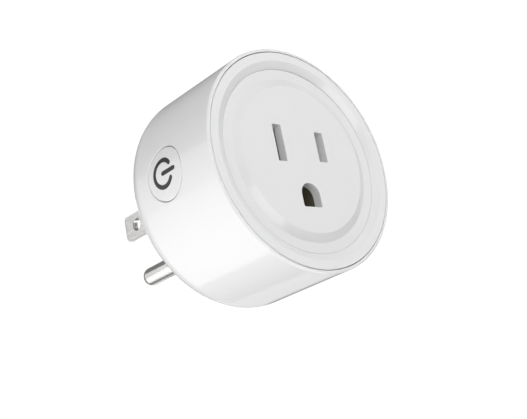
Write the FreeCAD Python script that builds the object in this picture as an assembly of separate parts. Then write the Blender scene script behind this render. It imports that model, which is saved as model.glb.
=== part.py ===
import FreeCAD, Part

import math
import os

V = FreeCAD.Vector

# ---------------------------------------------------------------------------
# Frame: millimetres, +Z up. The socket face looks along -Y and the prongs
# point along +Y. The origin is the centre of the wall face, from which the
# prongs come out. The button is on the -X side.
# ---------------------------------------------------------------------------

# Body
BODY_R = 27.0            # outer radius of the cylindrical body
FRONT_Y = -43.8          # front plane of the socket face
SHOULDER_Y = -12.1       # rear end of the shell
SHOULDER_ROUND = 5.6     # rounding of the rear shoulder
WALL = 1.8               # wall of the shell
LIP_ROUND = 0.6          # rounding of the front lip
RUN_GAP = 0.15           # visible gap between shell and bezel, and around the button

# Socket face
BEZEL_R = 26.1           # outer radius of the bezel ring
BEZEL_FLAT_R = 24.0      # inner edge of the bezel's flat
CHANNEL_R = 22.2         # outer edge of the sunk channel
CHANNEL_INNER_R = 19.65  # inner edge of the sunk channel
CHANNEL_DEPTH = 0.93
BEZEL_STEP = 0.12        # the bezel's inner edge stands this far over the channel
DISC_R = 17.7            # raised centre disc
FACE_T = 2.25            # thickness of the centre disc
SEAM = 0.08              # gap between the bezel and the face plate

# Standard three-pin spacing
BLADE_X = 6.35           # blades stand at plus and minus this
BLADE_Z = 3.28
PIN_Z = BLADE_Z - 11.9   # ground pin, below the blades
BLADE_T = 1.5
BLADE_W = 6.35
BLADE_LEN = 17.5
BLADE_HOLE_R = 1.6
BLADE_HOLE_Y = 11.9
PIN_R = 2.35
PIN_LEN = 20.6
SLOT_W = 2.5
NEUTRAL_SLOT_H = 8.8
LINE_SLOT_H = 7.25
GROUND_HOLE_W = 5.5
GROUND_HOLE_H = 5.6
GROUND_HOLE_DROP = 0.09  # the hole's middle lies this far below the pin's axis
COLLAR_T = 0.9           # rim behind the line slot
COLLAR_DEPTH = 0.75

# Rear neck
NECK_R = 19.5
WALL_FACE_R = 14.0
NECK_WALL = 2.0
FLOOR_T = 2.2

# Button
BUTTON_Y = -27.5
BUTTON_Z = 0.5
BUTTON_R = 6.05
BOSS_X = -24.0           # inner end of the shell's boss around the button
INLAY_T = 0.15

# Main board
BOARD_FRONT = -22.0
BOARD_T = 1.6
BOARD_REAR = BOARD_FRONT + BOARD_T
BOARD_R = 24.4

# Small clearances
FIT = 0.02
EPS = 0.05


# ---------------------------------------------------------------------------
# Helpers
# ---------------------------------------------------------------------------

def save(shape, name):
    """Write one node, checked to be made of valid closed solids."""
    if not shape.isValid() or not shape.Solids:
        raise ValueError("bad shape: " + name)
    shape.exportStep("parts/" + name + ".step")


def box(x0, x1, y0, y1, z0, z1):
    return Part.makeBox(x1 - x0, y1 - y0, z1 - z0, V(x0, y0, z0))


def rod_y(x, z, radius, y0, y1):
    return Part.makeCylinder(radius, y1 - y0, V(x, y0, z), V(0, 1, 0))


def rod_x(y, z, radius, x0, x1):
    return Part.makeCylinder(radius, x1 - x0, V(x0, y, z), V(1, 0, 0))


def rod_z(x, y, radius, z0, z1):
    return Part.makeCylinder(radius, z1 - z0, V(x, y, z0), V(0, 0, 1))


def tube_y(x, z, outer, inner, y0, y1):
    return rod_y(x, z, outer, y0, y1).cut(rod_y(x, z, inner, y0 - 1, y1 + 1))


def turned(points, angle=360.0):
    """Turn an (r, y) outline about the Y axis. An entry of two points is an arc:
    the first lies in the middle of the arc and the second is its end."""
    edges = []
    here = points[0]
    for item in points[1:] + [points[0]]:
        if len(item) == 2 and isinstance(item[0], tuple):
            middle, end = item
            arc = Part.Arc(V(here[0], here[1], 0), V(middle[0], middle[1], 0), V(end[0], end[1], 0))
            edges.append(arc.toShape())
            here = end
        else:
            edges.append(Part.makeLine(V(here[0], here[1], 0), V(item[0], item[1], 0)))
            here = item
    face = Part.Face(Part.Wire(edges))
    return face.revolve(V(0, 0, 0), V(0, 1, 0), angle)


def corner(centre, radius, degrees):
    """A point on a rounding, in the (r, y) plane."""
    a = math.radians(degrees)
    return (centre[0] + radius * math.cos(a), centre[1] + radius * math.sin(a))


def plate_xz(points, y0, y1):
    """Extrude an (x, z) outline along Y."""
    wire = Part.makePolygon([V(x, y0, z) for x, z in points + points[:1]])
    return Part.Face(wire).extrude(V(0, y1 - y0, 0))


def plate_xy(points, z0, z1):
    """Extrude an (x, y) outline along Z."""
    wire = Part.makePolygon([V(x, y, z0) for x, y in points + points[:1]])
    return Part.Face(wire).extrude(V(0, 0, z1 - z0))


def turn_y(shape, degrees):
    """A copy turned about the Y axis, from +X towards +Z."""
    copy = shape.copy()
    copy.rotate(V(0, 0, 0), V(0, -1, 0), degrees)
    return copy


def rounded_x(shape, radius):
    """Round the edges that run along X."""
    edges = [e for e in shape.Edges if abs(e.tangentAt(e.FirstParameter).x) > 0.999]
    return shape.makeFillet(radius, edges)


def rounded_y(shape, radius):
    """Round the edges that run along Y."""
    edges = [e for e in shape.Edges if abs(e.tangentAt(e.FirstParameter).y) > 0.999]
    return shape.makeFillet(radius, edges)


def fuse(shapes):
    return shapes[0].multiFuse(shapes[1:]).removeSplitter()


# ---------------------------------------------------------------------------
# Outer shell and button
# ---------------------------------------------------------------------------

REBATE_R = BEZEL_R + RUN_GAP
REBATE_Y = FRONT_Y + 3.2
INNER_R = BODY_R - WALL
REAR_OPENING_R = NECK_R + 0.1
KEY_W = 1.4              # rib that keeps the button from turning
BOSS_WALL = 2.2          # wall of the boss around the button
SHELL_BITE = 0.5         # how far inner ribs run into the shell's wall
RIB_W = 1.6              # ribs that the main board rests against
RIB_LEN = 4.0
RIB_REACH = 0.8          # how far a rib reaches over the board's edge


def housing_shell():
    shoulder = (BODY_R - SHOULDER_ROUND, SHOULDER_Y - SHOULDER_ROUND)
    lip = (BODY_R - LIP_ROUND, FRONT_Y + LIP_ROUND)
    inner_round = SHOULDER_ROUND - WALL
    shell = turned([
        (REBATE_R, FRONT_Y),
        (BODY_R - LIP_ROUND, FRONT_Y),
        (corner(lip, LIP_ROUND, -45), (BODY_R, FRONT_Y + LIP_ROUND)),
        (BODY_R, shoulder[1]),
        (corner(shoulder, SHOULDER_ROUND, 45), (shoulder[0], SHOULDER_Y)),
        (REAR_OPENING_R, SHOULDER_Y),
        (REAR_OPENING_R, SHOULDER_Y - WALL),
        (shoulder[0], SHOULDER_Y - WALL),
        (corner(shoulder, inner_round, 45), (INNER_R, shoulder[1])),
        (INNER_R, REBATE_Y),
        (REBATE_R, REBATE_Y),
    ])
    boss = rod_x(BUTTON_Y, BUTTON_Z, BUTTON_R + BOSS_WALL, -BODY_R + 1, BOSS_X)
    boss = boss.common(rod_y(0, 0, BODY_R - SHELL_BITE, FRONT_Y, 0))
    key_out = 1.1
    key_top = BUTTON_Z - BUTTON_R - 0.5
    key_bottom = BUTTON_Z - BUTTON_R - 2.0
    key = box(BOSS_X - SHELL_BITE, BOSS_X + key_out, BUTTON_Y - KEY_W / 2, BUTTON_Y + KEY_W / 2,
              key_bottom, key_top)
    hole = rod_x(BUTTON_Y, BUTTON_Z, BUTTON_R + RUN_GAP, -BODY_R - 1, BOSS_X + 2)
    rib = box(BOARD_R - RIB_REACH, INNER_R + SHELL_BITE, BOARD_REAR, BOARD_REAR + RIB_LEN,
              -RIB_W / 2, RIB_W / 2)
    ribs = [turn_y(rib, a) for a in (45, 135, 225, 315)]
    return fuse([shell, boss, key] + ribs).cut(hole)


def power_symbol(x0, x1):
    """An open ring and a bar that points at the socket face."""
    ring_y = BUTTON_Y + 0.5          # the ring lies a little off the button's centre
    ring_z = BUTTON_Z + 0.25
    outer = 3.6
    stroke = 1.1
    middle = outer - stroke / 2
    half_gap = math.radians(35)
    bar_rear = ring_y + 0.55
    bar_front = ring_y - 4.4
    ring = rod_x(ring_y, ring_z, outer, x0, x1).cut(
        rod_x(ring_y, ring_z, outer - stroke, x0 - 1, x1 + 1))
    reach = 2 * outer
    wedge = Part.makePolygon([
        V(x0 - 1, ring_y, ring_z),
        V(x0 - 1, ring_y - reach * math.cos(half_gap), ring_z + reach * math.sin(half_gap)),
        V(x0 - 1, ring_y - reach * math.cos(half_gap), ring_z - reach * math.sin(half_gap)),
        V(x0 - 1, ring_y, ring_z)])
    ring = ring.cut(Part.Face(wedge).extrude(V(x1 - x0 + 2, 0, 0)))
    ends = [rod_x(ring_y - middle * math.cos(half_gap), ring_z + s * middle * math.sin(half_gap),
                  stroke / 2, x0, x1) for s in (-1, 1)]
    bar = box(x0, x1, bar_front + stroke / 2, bar_rear - stroke / 2,
              ring_z - stroke / 2, ring_z + stroke / 2)
    tips = [rod_x(y, ring_z, stroke / 2, x0, x1)
            for y in (bar_front + stroke / 2, bar_rear - stroke / 2)]
    return fuse([ring] + ends), fuse([bar] + tips)


def button_symbol():
    skin = tube_y(0, 0, BODY_R, BODY_R - INLAY_T, FRONT_Y, 0)
    marks = [mark.common(skin) for mark in power_symbol(-BODY_R - 1, -BODY_R + 2)]
    return Part.makeCompound([solid for mark in marks for solid in mark.Solids])


def button_cap():
    skin_t = 1.6             # thickness of the cap's face
    cap_wall = 1.2
    flange_t = 0.8
    flange_r = BUTTON_R + 1.0
    post_r = 1.6
    play = 0.15              # room around the key
    rib_half = 0.4
    rib_x = (-BODY_R + 1.4, BOSS_X + EPS + flange_t - 0.3)
    rib_reach = BUTTON_R - 0.6
    flange_out = BOSS_X + EPS
    flange_in = flange_out + flange_t
    cap = rod_x(BUTTON_Y, BUTTON_Z, BUTTON_R, -BODY_R - 1, flange_in)
    cap = cap.common(rod_y(0, 0, BODY_R, FRONT_Y, 0))
    hollow = rod_x(BUTTON_Y, BUTTON_Z, BUTTON_R - cap_wall, -BODY_R + skin_t, flange_in + 1)
    flange = rod_x(BUTTON_Y, BUTTON_Z, flange_r, flange_out, flange_in)
    notch = box(flange_out - 1, flange_in + 1,
                BUTTON_Y - KEY_W / 2 - play, BUTTON_Y + KEY_W / 2 + play,
                BUTTON_Z - flange_r - 1, BUTTON_Z - BUTTON_R - 0.2)
    post = rod_x(BUTTON_Y, BUTTON_Z, post_r, -BODY_R + 1, PLUNGER_TOP - EPS)
    ribs = [box(*rib_x, BUTTON_Y - rib_half, BUTTON_Y + rib_half,
                BUTTON_Z - rib_reach, BUTTON_Z + rib_reach),
            box(*rib_x, BUTTON_Y - rib_reach, BUTTON_Y + rib_reach,
                BUTTON_Z - rib_half, BUTTON_Z + rib_half)]
    body = fuse([cap.fuse(flange).cut(hollow).cut(notch), post] + ribs)
    return body.cut(button_symbol())


# ---------------------------------------------------------------------------
# Socket face
# ---------------------------------------------------------------------------

PLATE_BACK = FRONT_Y + FACE_T
PLATE_R = CHANNEL_R - SEAM
CHANNEL_Y = FRONT_Y + CHANNEL_DEPTH
LEDGE_R = 20.8           # ledge of the bezel behind the plate
LEDGE_T = 1.0
SKIRT_R = INNER_R - 0.1  # skirt of the bezel inside the shell
SKIRT_T = 1.4
SKIRT_END = FRONT_Y + 5.4
LEG_BITE = 0.2           # how far legs and collar run into the plate


def front_bezel():
    edge = 0.25
    edge_centre = (BEZEL_R - edge, FRONT_Y + edge)
    return turned([
        (BEZEL_FLAT_R, FRONT_Y),
        (BEZEL_R - edge, FRONT_Y),
        (corner(edge_centre, edge, -45), (BEZEL_R, FRONT_Y + edge)),
        (BEZEL_R, REBATE_Y),
        (SKIRT_R, REBATE_Y),
        (SKIRT_R, SKIRT_END),
        (SKIRT_R - SKIRT_T, SKIRT_END),
        (SKIRT_R - SKIRT_T, PLATE_BACK + LEDGE_T),
        (LEDGE_R, PLATE_BACK + LEDGE_T),
        (LEDGE_R, PLATE_BACK + EPS),
        (CHANNEL_R, PLATE_BACK + EPS),
        (CHANNEL_R, CHANNEL_Y - BEZEL_STEP),
    ])


def ground_hole(y0, y1, extra=0.0):
    """D-shaped hole: flat at the bottom, round at the top."""
    half = GROUND_HOLE_W / 2 + extra
    bottom = PIN_Z - GROUND_HOLE_DROP - GROUND_HOLE_H / 2 - extra
    top_centre = bottom + GROUND_HOLE_H + 2 * extra - half
    flat = box(-half, half, y0, y1, bottom, top_centre)
    return flat.fuse(rod_y(0, top_centre, half, y0, y1)).removeSplitter()


def slot(x, height, y0, y1):
    """A slot for a plug's blade, with slightly rounded corners."""
    corner_r = 0.15
    hole = box(x - SLOT_W / 2, x + SLOT_W / 2, y0, y1,
               BLADE_Z - height / 2, BLADE_Z + height / 2)
    return rounded_y(hole, corner_r)


def socket_face():
    plate = turned([
        (0, FRONT_Y),
        (DISC_R, FRONT_Y),
        (CHANNEL_INNER_R, CHANNEL_Y),
        (PLATE_R, CHANNEL_Y),
        (PLATE_R, PLATE_BACK),
        (0, PLATE_BACK),
    ])
    # six legs snap behind the bezel's ledge
    leg_outer = LEDGE_R - 0.1
    leg_inner = leg_outer - 1.2
    leg_angle = 14
    hook_y = PLATE_BACK + LEDGE_T + 0.1
    hook_end = hook_y + 0.9
    hook_reach = 0.5
    leg = turned([
        (leg_inner, PLATE_BACK - LEG_BITE),
        (leg_outer, PLATE_BACK - LEG_BITE),
        (leg_outer, hook_y),
        (leg_outer + hook_reach, hook_y),
        (leg_outer, hook_end),
        (leg_inner, hook_end),
    ], leg_angle)
    legs = [turn_y(leg, a) for a in range(0, 360, 60)]
    half_w = SLOT_W / 2 + COLLAR_T
    half_h = LINE_SLOT_H / 2 + COLLAR_T
    collar = box(BLADE_X - half_w, BLADE_X + half_w, PLATE_BACK - LEG_BITE,
                 PLATE_BACK + COLLAR_DEPTH, BLADE_Z - half_h, BLADE_Z + half_h)
    y0 = FRONT_Y - 1
    y1 = PLATE_BACK + COLLAR_DEPTH + 1
    plate = fuse([plate, collar] + legs)
    for hole in (slot(-BLADE_X, NEUTRAL_SLOT_H, y0, y1), slot(BLADE_X, LINE_SLOT_H, y0, y1),
                 ground_hole(y0, y1)):
        plate = plate.cut(hole)
    return plate


# ---------------------------------------------------------------------------
# Socket contacts and their carrier
# ---------------------------------------------------------------------------

CARRIER_FRONT = PLATE_BACK + EPS
CARRIER_HALF = 10.4
CARRIER_TOP = 9.6
CARRIER_BOTTOM = -14.0
POCKET_FLOOR = -25.0
CONTACT_FRONT = -38.5
CONTACT_T = 0.6
TAB_END = BOARD_REAR + 0.4
TAB_Z = (BLADE_Z + 0.5, BLADE_Z + 2.9)      # contact tabs in the board
TAIL_Z = (BLADE_Z - 3.175, BLADE_Z - 0.6)   # blade tails in the board
SLEEVE_R = PIN_R + 0.03
SLEEVE_T = 0.6
GROUND_TAB_Z = (PIN_Z - 1.3, PIN_Z + 1.3)
CARRIER_SCREWS = ((-7.6, -10.9), (7.6, -10.9))
CARRIER_BEVEL = 3.0      # clipped corners of the block
POCKET_HALF_W = 2.9      # pocket of a blade contact
POCKET_HALF_H = 4.6
SCREW_R = 0.95
SCREW_BITE = 7.0         # depth of the screw holes in the block


def slit_y(x, thickness, z_range, y0, y1):
    """A cutter for a flat strip that stands in a plane across X."""
    half = thickness / 2 + FIT
    return box(x - half, x + half, y0, y1, z_range[0] - FIT, z_range[1] + FIT)


def contact_carrier():
    cut = CARRIER_BEVEL
    outline = [
        (-CARRIER_HALF, CARRIER_BOTTOM + cut), (-CARRIER_HALF + cut, CARRIER_BOTTOM),
        (CARRIER_HALF - cut, CARRIER_BOTTOM), (CARRIER_HALF, CARRIER_BOTTOM + cut),
        (CARRIER_HALF, CARRIER_TOP - cut), (CARRIER_HALF - cut, CARRIER_TOP),
        (-CARRIER_HALF + cut, CARRIER_TOP), (-CARRIER_HALF, CARRIER_TOP - cut)]
    block = plate_xz(outline, CARRIER_FRONT, BOARD_FRONT)
    for side in (-1, 1):
        x = side * BLADE_X
        block = block.cut(box(x - POCKET_HALF_W, x + POCKET_HALF_W, CARRIER_FRONT - 1,
                              POCKET_FLOOR, BLADE_Z - POCKET_HALF_H, BLADE_Z + POCKET_HALF_H))
        block = block.cut(slit_y(x, CONTACT_T, TAB_Z, POCKET_FLOOR - 1, BOARD_FRONT + 1))
    entry_extra = 0.2
    sleeve_room = 0.5
    block = block.cut(ground_hole(CARRIER_FRONT - 1, CONTACT_FRONT, entry_extra))
    block = block.cut(rod_y(0, PIN_Z, SLEEVE_R + SLEEVE_T + sleeve_room,
                            CONTACT_FRONT - entry_extra, POCKET_FLOOR))
    block = block.cut(slit_y(0, CONTACT_T, GROUND_TAB_Z, POCKET_FLOOR - 1, BOARD_FRONT + 1))
    for x, z in CARRIER_SCREWS:
        block = block.cut(rod_y(x, z, SCREW_R + FIT, BOARD_FRONT - SCREW_BITE, BOARD_FRONT + 1))
    return block


def blade_contact(x):
    """A folded strip: two leaves that grip a blade, a bottom and a board tab."""
    grip = BLADE_T / 2 - 0.05            # half the gap where the leaves grip
    wide = BLADE_T / 2 + 0.45
    mouth = wide + 0.5
    half_h = 3.0
    bottom = POCKET_FLOOR - FIT
    bend = bottom - 2.0
    grip_y = (CONTACT_FRONT + 3.2, CONTACT_FRONT + 6.0)
    leaves = []
    for side in (-1, 1):
        inner = [(mouth, CONTACT_FRONT), (grip, grip_y[0]), (grip, grip_y[1]),
                 (wide, bend), (wide, bottom - CONTACT_T), (0, bottom - CONTACT_T)]
        outer = [(0, bottom), (wide + CONTACT_T, bottom), (wide + CONTACT_T, bend),
                 (grip + CONTACT_T, grip_y[1]), (grip + CONTACT_T, grip_y[0]),
                 (mouth + CONTACT_T, CONTACT_FRONT)]
        points = [(x + side * a, y) for a, y in inner + outer]
        leaves.append(plate_xy(points, BLADE_Z - half_h, BLADE_Z + half_h))
    tab = box(x - CONTACT_T / 2, x + CONTACT_T / 2, bottom - CONTACT_T, TAB_END, *TAB_Z)
    return fuse(leaves + [tab])


def ground_contact():
    """A split sleeve that grips the ground pin, with a bottom and a board tab."""
    slit = 1.2
    slit_end = POCKET_FLOOR - FIT - 2.0
    mouth = 1.0
    flare_r = SLEEVE_R + 0.35
    bottom = POCKET_FLOOR - FIT
    outer = SLEEVE_R + SLEEVE_T
    sleeve = tube_y(0, PIN_Z, outer, SLEEVE_R, CONTACT_FRONT, bottom)
    flare = Part.makeCone(flare_r, SLEEVE_R, mouth, V(0, CONTACT_FRONT, PIN_Z), V(0, 1, 0))
    sleeve = sleeve.cut(flare)
    sleeve = sleeve.cut(box(-slit / 2, slit / 2, CONTACT_FRONT - 1, slit_end,
                            PIN_Z, PIN_Z + outer + 1))
    end = rod_y(0, PIN_Z, outer, bottom - CONTACT_T, bottom)
    tab = box(-CONTACT_T / 2, CONTACT_T / 2, bottom - CONTACT_T, TAB_END, *GROUND_TAB_Z)
    return fuse([sleeve, end, tab])


# ---------------------------------------------------------------------------
# Rear cover and prongs
# ---------------------------------------------------------------------------

FLANGE_R = 21.2
FLANGE_T = 2.0
RETAINER_R = 11.9
RETAINER_Y = -7.0
RETAINER_SCREWS = ((-7.2, -6.2), (7.2, -6.2))
RETAINER_SCREW_LEN = 6.3
BOARD_SCREW_LEN = 7.6
PIN_ROOT_R = 3.0         # root of the ground pin, inside the rear cover
PIN_COLLAR_R = 3.6       # collar in front of the retainer
PIN_COLLAR_T = 2.0
SHANK_R = 1.6            # shank between the collar and the strap
RIVET_NECK_R = 1.1       # end of the pin, riveted over the strap
RIVET_HEAD_R = 1.9
RIVET_HEAD_T = 0.6
STRAP_REAR = -17.5
STRAP_T = 0.8
STRAP_HALF = 2.4
STRAP_TAB_HALF = 1.5
STRAP_TAB_Z = (-15.4, -14.6)


def rear_cover():
    neck_front = SHOULDER_Y - WALL
    hole_floor = -0.6
    # the cone meets the flat wall face in a small rounding
    edge = 0.8
    cone_end = (WALL_FACE_R, -edge)
    edge_middle = (WALL_FACE_R - 0.25, -0.22)
    inner_front = NECK_R - NECK_WALL
    cover = turned([
        (inner_front, neck_front - FLANGE_T),
        (FLANGE_R, neck_front - FLANGE_T),
        (FLANGE_R, neck_front - EPS),
        (NECK_R, neck_front - EPS),
        (NECK_R, SHOULDER_Y),
        cone_end,
        (edge_middle, (WALL_FACE_R - edge, 0)),
        (0, 0),
        (0, -FLOOR_T),
        (WALL_FACE_R - NECK_WALL, -FLOOR_T),
        (inner_front, SHOULDER_Y),
    ])
    for x in (-BLADE_X, BLADE_X):
        cover = cover.cut(blade_slot(x, -FLOOR_T - 1, 1))
    cover = cover.cut(rod_y(0, PIN_Z, PIN_ROOT_R + FIT, -FLOOR_T - 1, 1))
    for x, z in RETAINER_SCREWS:
        cover = cover.cut(rod_y(x, z, SCREW_R + FIT, -FLOOR_T - 1, hole_floor))
    return cover


def blade_slot(x, y0, y1):
    return box(x - BLADE_T / 2 - FIT, x + BLADE_T / 2 + FIT, y0, y1,
               BLADE_Z - BLADE_W / 2 - FIT, BLADE_Z + BLADE_W / 2 + FIT)


def blade_retainer():
    disc = rod_y(0, 0, RETAINER_R, RETAINER_Y, -FLOOR_T)
    disc = disc.cut(blade_slot(-BLADE_X, RETAINER_Y - 1, 0))
    disc = disc.cut(blade_slot(BLADE_X, RETAINER_Y - 1, 0))
    disc = disc.cut(rod_y(0, PIN_Z, PIN_ROOT_R + FIT, RETAINER_Y - 1, 0))
    for x, z in RETAINER_SCREWS:
        disc = disc.cut(rod_y(x, z, SCREW_R + FIT, RETAINER_Y - 1, 0))
    return disc


def blade(x):
    """A flat blade with a chamfered tip, a shoulder and a board tail."""
    chamfer = 0.45
    clip = 1.1
    half_w = BLADE_W / 2
    shoulder = 1.0
    bar = box(x - BLADE_T / 2, x + BLADE_T / 2, RETAINER_Y, BLADE_LEN,
              BLADE_Z - half_w, BLADE_Z + half_w)
    for side in (-1, 1):
        # clipped corners of the tip
        z = BLADE_Z + side * half_w
        wire = Part.makePolygon([V(x - 1, BLADE_LEN, z), V(x - 1, BLADE_LEN - clip, z),
                                 V(x - 1, BLADE_LEN, z - side * clip), V(x - 1, BLADE_LEN, z)])
        bar = bar.cut(Part.Face(wire).extrude(V(2, 0, 0)))
        # chamfers across the thickness
        face_x = x + side * BLADE_T / 2
        bar = bar.cut(plate_xy([(face_x, BLADE_LEN - 2 * chamfer), (face_x, BLADE_LEN),
                                (face_x - side * chamfer, BLADE_LEN)],
                               BLADE_Z - half_w - 1, BLADE_Z + half_w + 1))
    bar = bar.cut(rod_x(BLADE_HOLE_Y, BLADE_Z, BLADE_HOLE_R, x - 2, x + 2))
    wide = box(x - BLADE_T / 2, x + BLADE_T / 2, STRAP_REAR, RETAINER_Y,
               BLADE_Z - half_w - shoulder, BLADE_Z + half_w + shoulder)
    tail = box(x - BLADE_T / 2, x + BLADE_T / 2, BOARD_FRONT + 0.1, STRAP_REAR, *TAIL_Z)
    return fuse([bar, wide, tail])


def ground_pin():
    straight = PIN_LEN - PIN_R
    pin = rod_y(0, PIN_Z, PIN_R, 0, straight)
    tip = Part.makeSphere(PIN_R, V(0, straight, PIN_Z))
    root = rod_y(0, PIN_Z, PIN_ROOT_R, RETAINER_Y, 0)
    collar_front = RETAINER_Y - PIN_COLLAR_T
    collar = rod_y(0, PIN_Z, PIN_COLLAR_R, collar_front, RETAINER_Y)
    shank = rod_y(0, PIN_Z, SHANK_R, STRAP_REAR, collar_front)
    strap_front = STRAP_REAR - STRAP_T
    neck = rod_y(0, PIN_Z, RIVET_NECK_R, strap_front - RIVET_HEAD_T, STRAP_REAR)
    head = rod_y(0, PIN_Z, RIVET_HEAD_R, strap_front - RIVET_HEAD_T, strap_front)
    return fuse([pin, tip, root, collar, shank, neck, head])


def ground_strap():
    plate = box(-STRAP_HALF, STRAP_HALF, STRAP_REAR - STRAP_T, STRAP_REAR,
                STRAP_TAB_Z[0], PIN_Z + STRAP_HALF)
    plate = plate.cut(rod_y(0, PIN_Z, RIVET_NECK_R + FIT, STRAP_REAR - 2, STRAP_REAR + 1))
    tab = box(-STRAP_TAB_HALF, STRAP_TAB_HALF, BOARD_FRONT - 0.4, STRAP_REAR, *STRAP_TAB_Z)
    return fuse([plate, tab])


def screws(places, y_seat, length, toward):
    """Pan-head screws with a cross recess. toward is the way the shank points."""
    head_r = 1.75
    head_t = 1.2
    recess_depth = 0.6
    recess_half = (1.1, 0.2)
    made = []
    for x, z in places:
        tip = y_seat + toward * length
        top = y_seat - toward * head_t
        shank = rod_y(x, z, SCREW_R, min(y_seat, tip), max(y_seat, tip))
        head = rod_y(x, z, head_r, min(y_seat, top), max(y_seat, top))
        screw = fuse([shank, head])
        deep = top + toward * recess_depth
        for wide, tall in (recess_half, recess_half[::-1]):
            screw = screw.cut(box(x - wide, x + wide, min(deep, top) - FIT, max(deep, top) + FIT,
                                  z - tall, z + tall))
        made.append(screw)
    return Part.makeCompound(made)


# ---------------------------------------------------------------------------
# Relay: the coil pulls the armature, whose spring closes the line contact
# ---------------------------------------------------------------------------

RELAY_HALF = 9.2
RELAY_Z = (12.4, 22.6)
RELAY_MID_Z = 17.5
RELAY_FRONT = -37.3
RELAY_WALL = 0.8
RELAY_CORNER_R = 0.6
BASE_TOP = BOARD_FRONT - 1.5
FOOT_FRONT = BASE_TOP - 0.9     # front of the yoke's foot
COIL_X = -3.2
HINGE_X = 2.0
HINGE_Y = -35.1
ARM_T = 0.8
YOKE_T = 0.8
LEAF_T = 0.2
LEAF_X = 3.4
RIVET_Y = -28.2
CONTACT_GAP = 0.45
RIVET_R = 1.2
RIVET_T = 0.6
BOBBIN_FRONT = -34.0
BOBBIN_REAR = -25.0
BOBBIN_RIM = 0.6         # thickness of the bobbin's end flanges
BOBBIN_BORE = 1.52
BARREL_R = 2.0
CORE_R = BOBBIN_BORE - FIT
POLE_T = 0.6
RELAY_PIN_R = 0.4
STRIP_HALF = 1.5


def relay_case():
    case = box(-RELAY_HALF, RELAY_HALF, RELAY_FRONT, BOARD_FRONT - EPS, *RELAY_Z)
    case = rounded_y(case, RELAY_CORNER_R)
    inside = box(-RELAY_HALF + RELAY_WALL, RELAY_HALF - RELAY_WALL, RELAY_FRONT + RELAY_WALL,
                 BOARD_FRONT + 1, RELAY_Z[0] + RELAY_WALL, RELAY_Z[1] - RELAY_WALL)
    return case.cut(inside)


def relay_pin_places():
    """Two coil pins on one side, and the pin of the moving contact on the other."""
    coil_pin_x = COIL_X - 4.2
    pitch = 6.4
    contact_pin = (HINGE_X + 5.0, RELAY_MID_Z + 3.0)
    return [(coil_pin_x, RELAY_MID_Z - pitch / 2), (coil_pin_x, RELAY_MID_Z + pitch / 2),
            contact_pin]


def relay_base():
    gap = 0.1
    base = box(-RELAY_HALF + RELAY_WALL + gap, RELAY_HALF - RELAY_WALL - gap, BASE_TOP,
               BOARD_FRONT - EPS, RELAY_Z[0] + RELAY_WALL + gap, RELAY_Z[1] - RELAY_WALL - gap)
    for x, z in relay_pin_places():
        base = base.cut(rod_y(x, z, RELAY_PIN_R + FIT, BASE_TOP - 1, BOARD_FRONT + 1))
    return base.cut(strip_slot(BASE_TOP - 1, BOARD_FRONT + 1))


def relay_pins():
    top = BASE_TOP - 0.8
    pins = [rod_y(x, z, RELAY_PIN_R, top, TAB_END) for x, z in relay_pin_places()]
    return Part.makeCompound(pins)


def relay_bobbin():
    rim_r = 4.1
    barrel = tube_y(COIL_X, RELAY_MID_Z, BARREL_R, BOBBIN_BORE, BOBBIN_FRONT, BOBBIN_REAR)
    front = tube_y(COIL_X, RELAY_MID_Z, rim_r, BOBBIN_BORE, BOBBIN_FRONT,
                   BOBBIN_FRONT + BOBBIN_RIM)
    rear = tube_y(COIL_X, RELAY_MID_Z, rim_r, BOBBIN_BORE, BOBBIN_REAR - BOBBIN_RIM, BOBBIN_REAR)
    return fuse([barrel, front, rear])


def relay_coil():
    coil_r = 3.8
    return tube_y(COIL_X, RELAY_MID_Z, coil_r, BARREL_R + FIT,
                  BOBBIN_FRONT + BOBBIN_RIM + FIT, BOBBIN_REAR - BOBBIN_RIM - FIT)


def relay_core():
    pole_r = 2.8
    pole = rod_y(COIL_X, RELAY_MID_Z, pole_r, BOBBIN_FRONT - POLE_T, BOBBIN_FRONT - FIT)
    shaft = rod_y(COIL_X, RELAY_MID_Z, CORE_R, BOBBIN_FRONT - POLE_T, FOOT_FRONT)
    return fuse([pole, shaft])


def relay_yoke():
    """An L of plate whose round nose carries the armature."""
    half = 3.0
    foot_reach = 2.6         # beyond the coil's axis
    low = RELAY_MID_Z - half
    high = RELAY_MID_Z + half
    foot = box(COIL_X - foot_reach, HINGE_X + YOKE_T / 2, FOOT_FRONT + FIT, BASE_TOP - FIT, low, high)
    side = box(HINGE_X - YOKE_T / 2, HINGE_X + YOKE_T / 2, HINGE_Y, BASE_TOP - FIT, low, high)
    nose = rod_z(HINGE_X, HINGE_Y, YOKE_T / 2, low, high)
    return fuse([foot, side, nose])


def relay_armature():
    """A flat plate that rocks on the yoke's nose, in a round groove."""
    half = 3.5
    reach = (9.2, 0.8)       # on both sides of the hinge line
    plate = box(HINGE_X - reach[0], HINGE_X + reach[1], HINGE_Y - ARM_T, HINGE_Y,
                RELAY_MID_Z - half, RELAY_MID_Z + half)
    groove = rod_z(HINGE_X, HINGE_Y, YOKE_T / 2 + EPS, RELAY_MID_Z - half - 1,
                   RELAY_MID_Z + half + 1)
    return plate.cut(groove)


def relay_contact_spring():
    half = 1.6
    back = HINGE_X - 6.0
    tip = RIVET_Y + 1.6
    top = HINGE_Y - ARM_T - FIT
    across = box(back, LEAF_X + LEAF_T, top - LEAF_T, top,
                 RELAY_MID_Z - half, RELAY_MID_Z + half)
    down = box(LEAF_X, LEAF_X + LEAF_T, top - LEAF_T, tip,
               RELAY_MID_Z - half, RELAY_MID_Z + half)
    rivet = rod_x(RIVET_Y, RELAY_MID_Z, RIVET_R, LEAF_X, LEAF_X + LEAF_T + RIVET_T)
    return fuse([across, down, rivet])


FIXED_FACE_X = LEAF_X + LEAF_T + RIVET_T + CONTACT_GAP
STRIP_X = (FIXED_FACE_X + 0.5, FIXED_FACE_X + 0.9)


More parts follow.
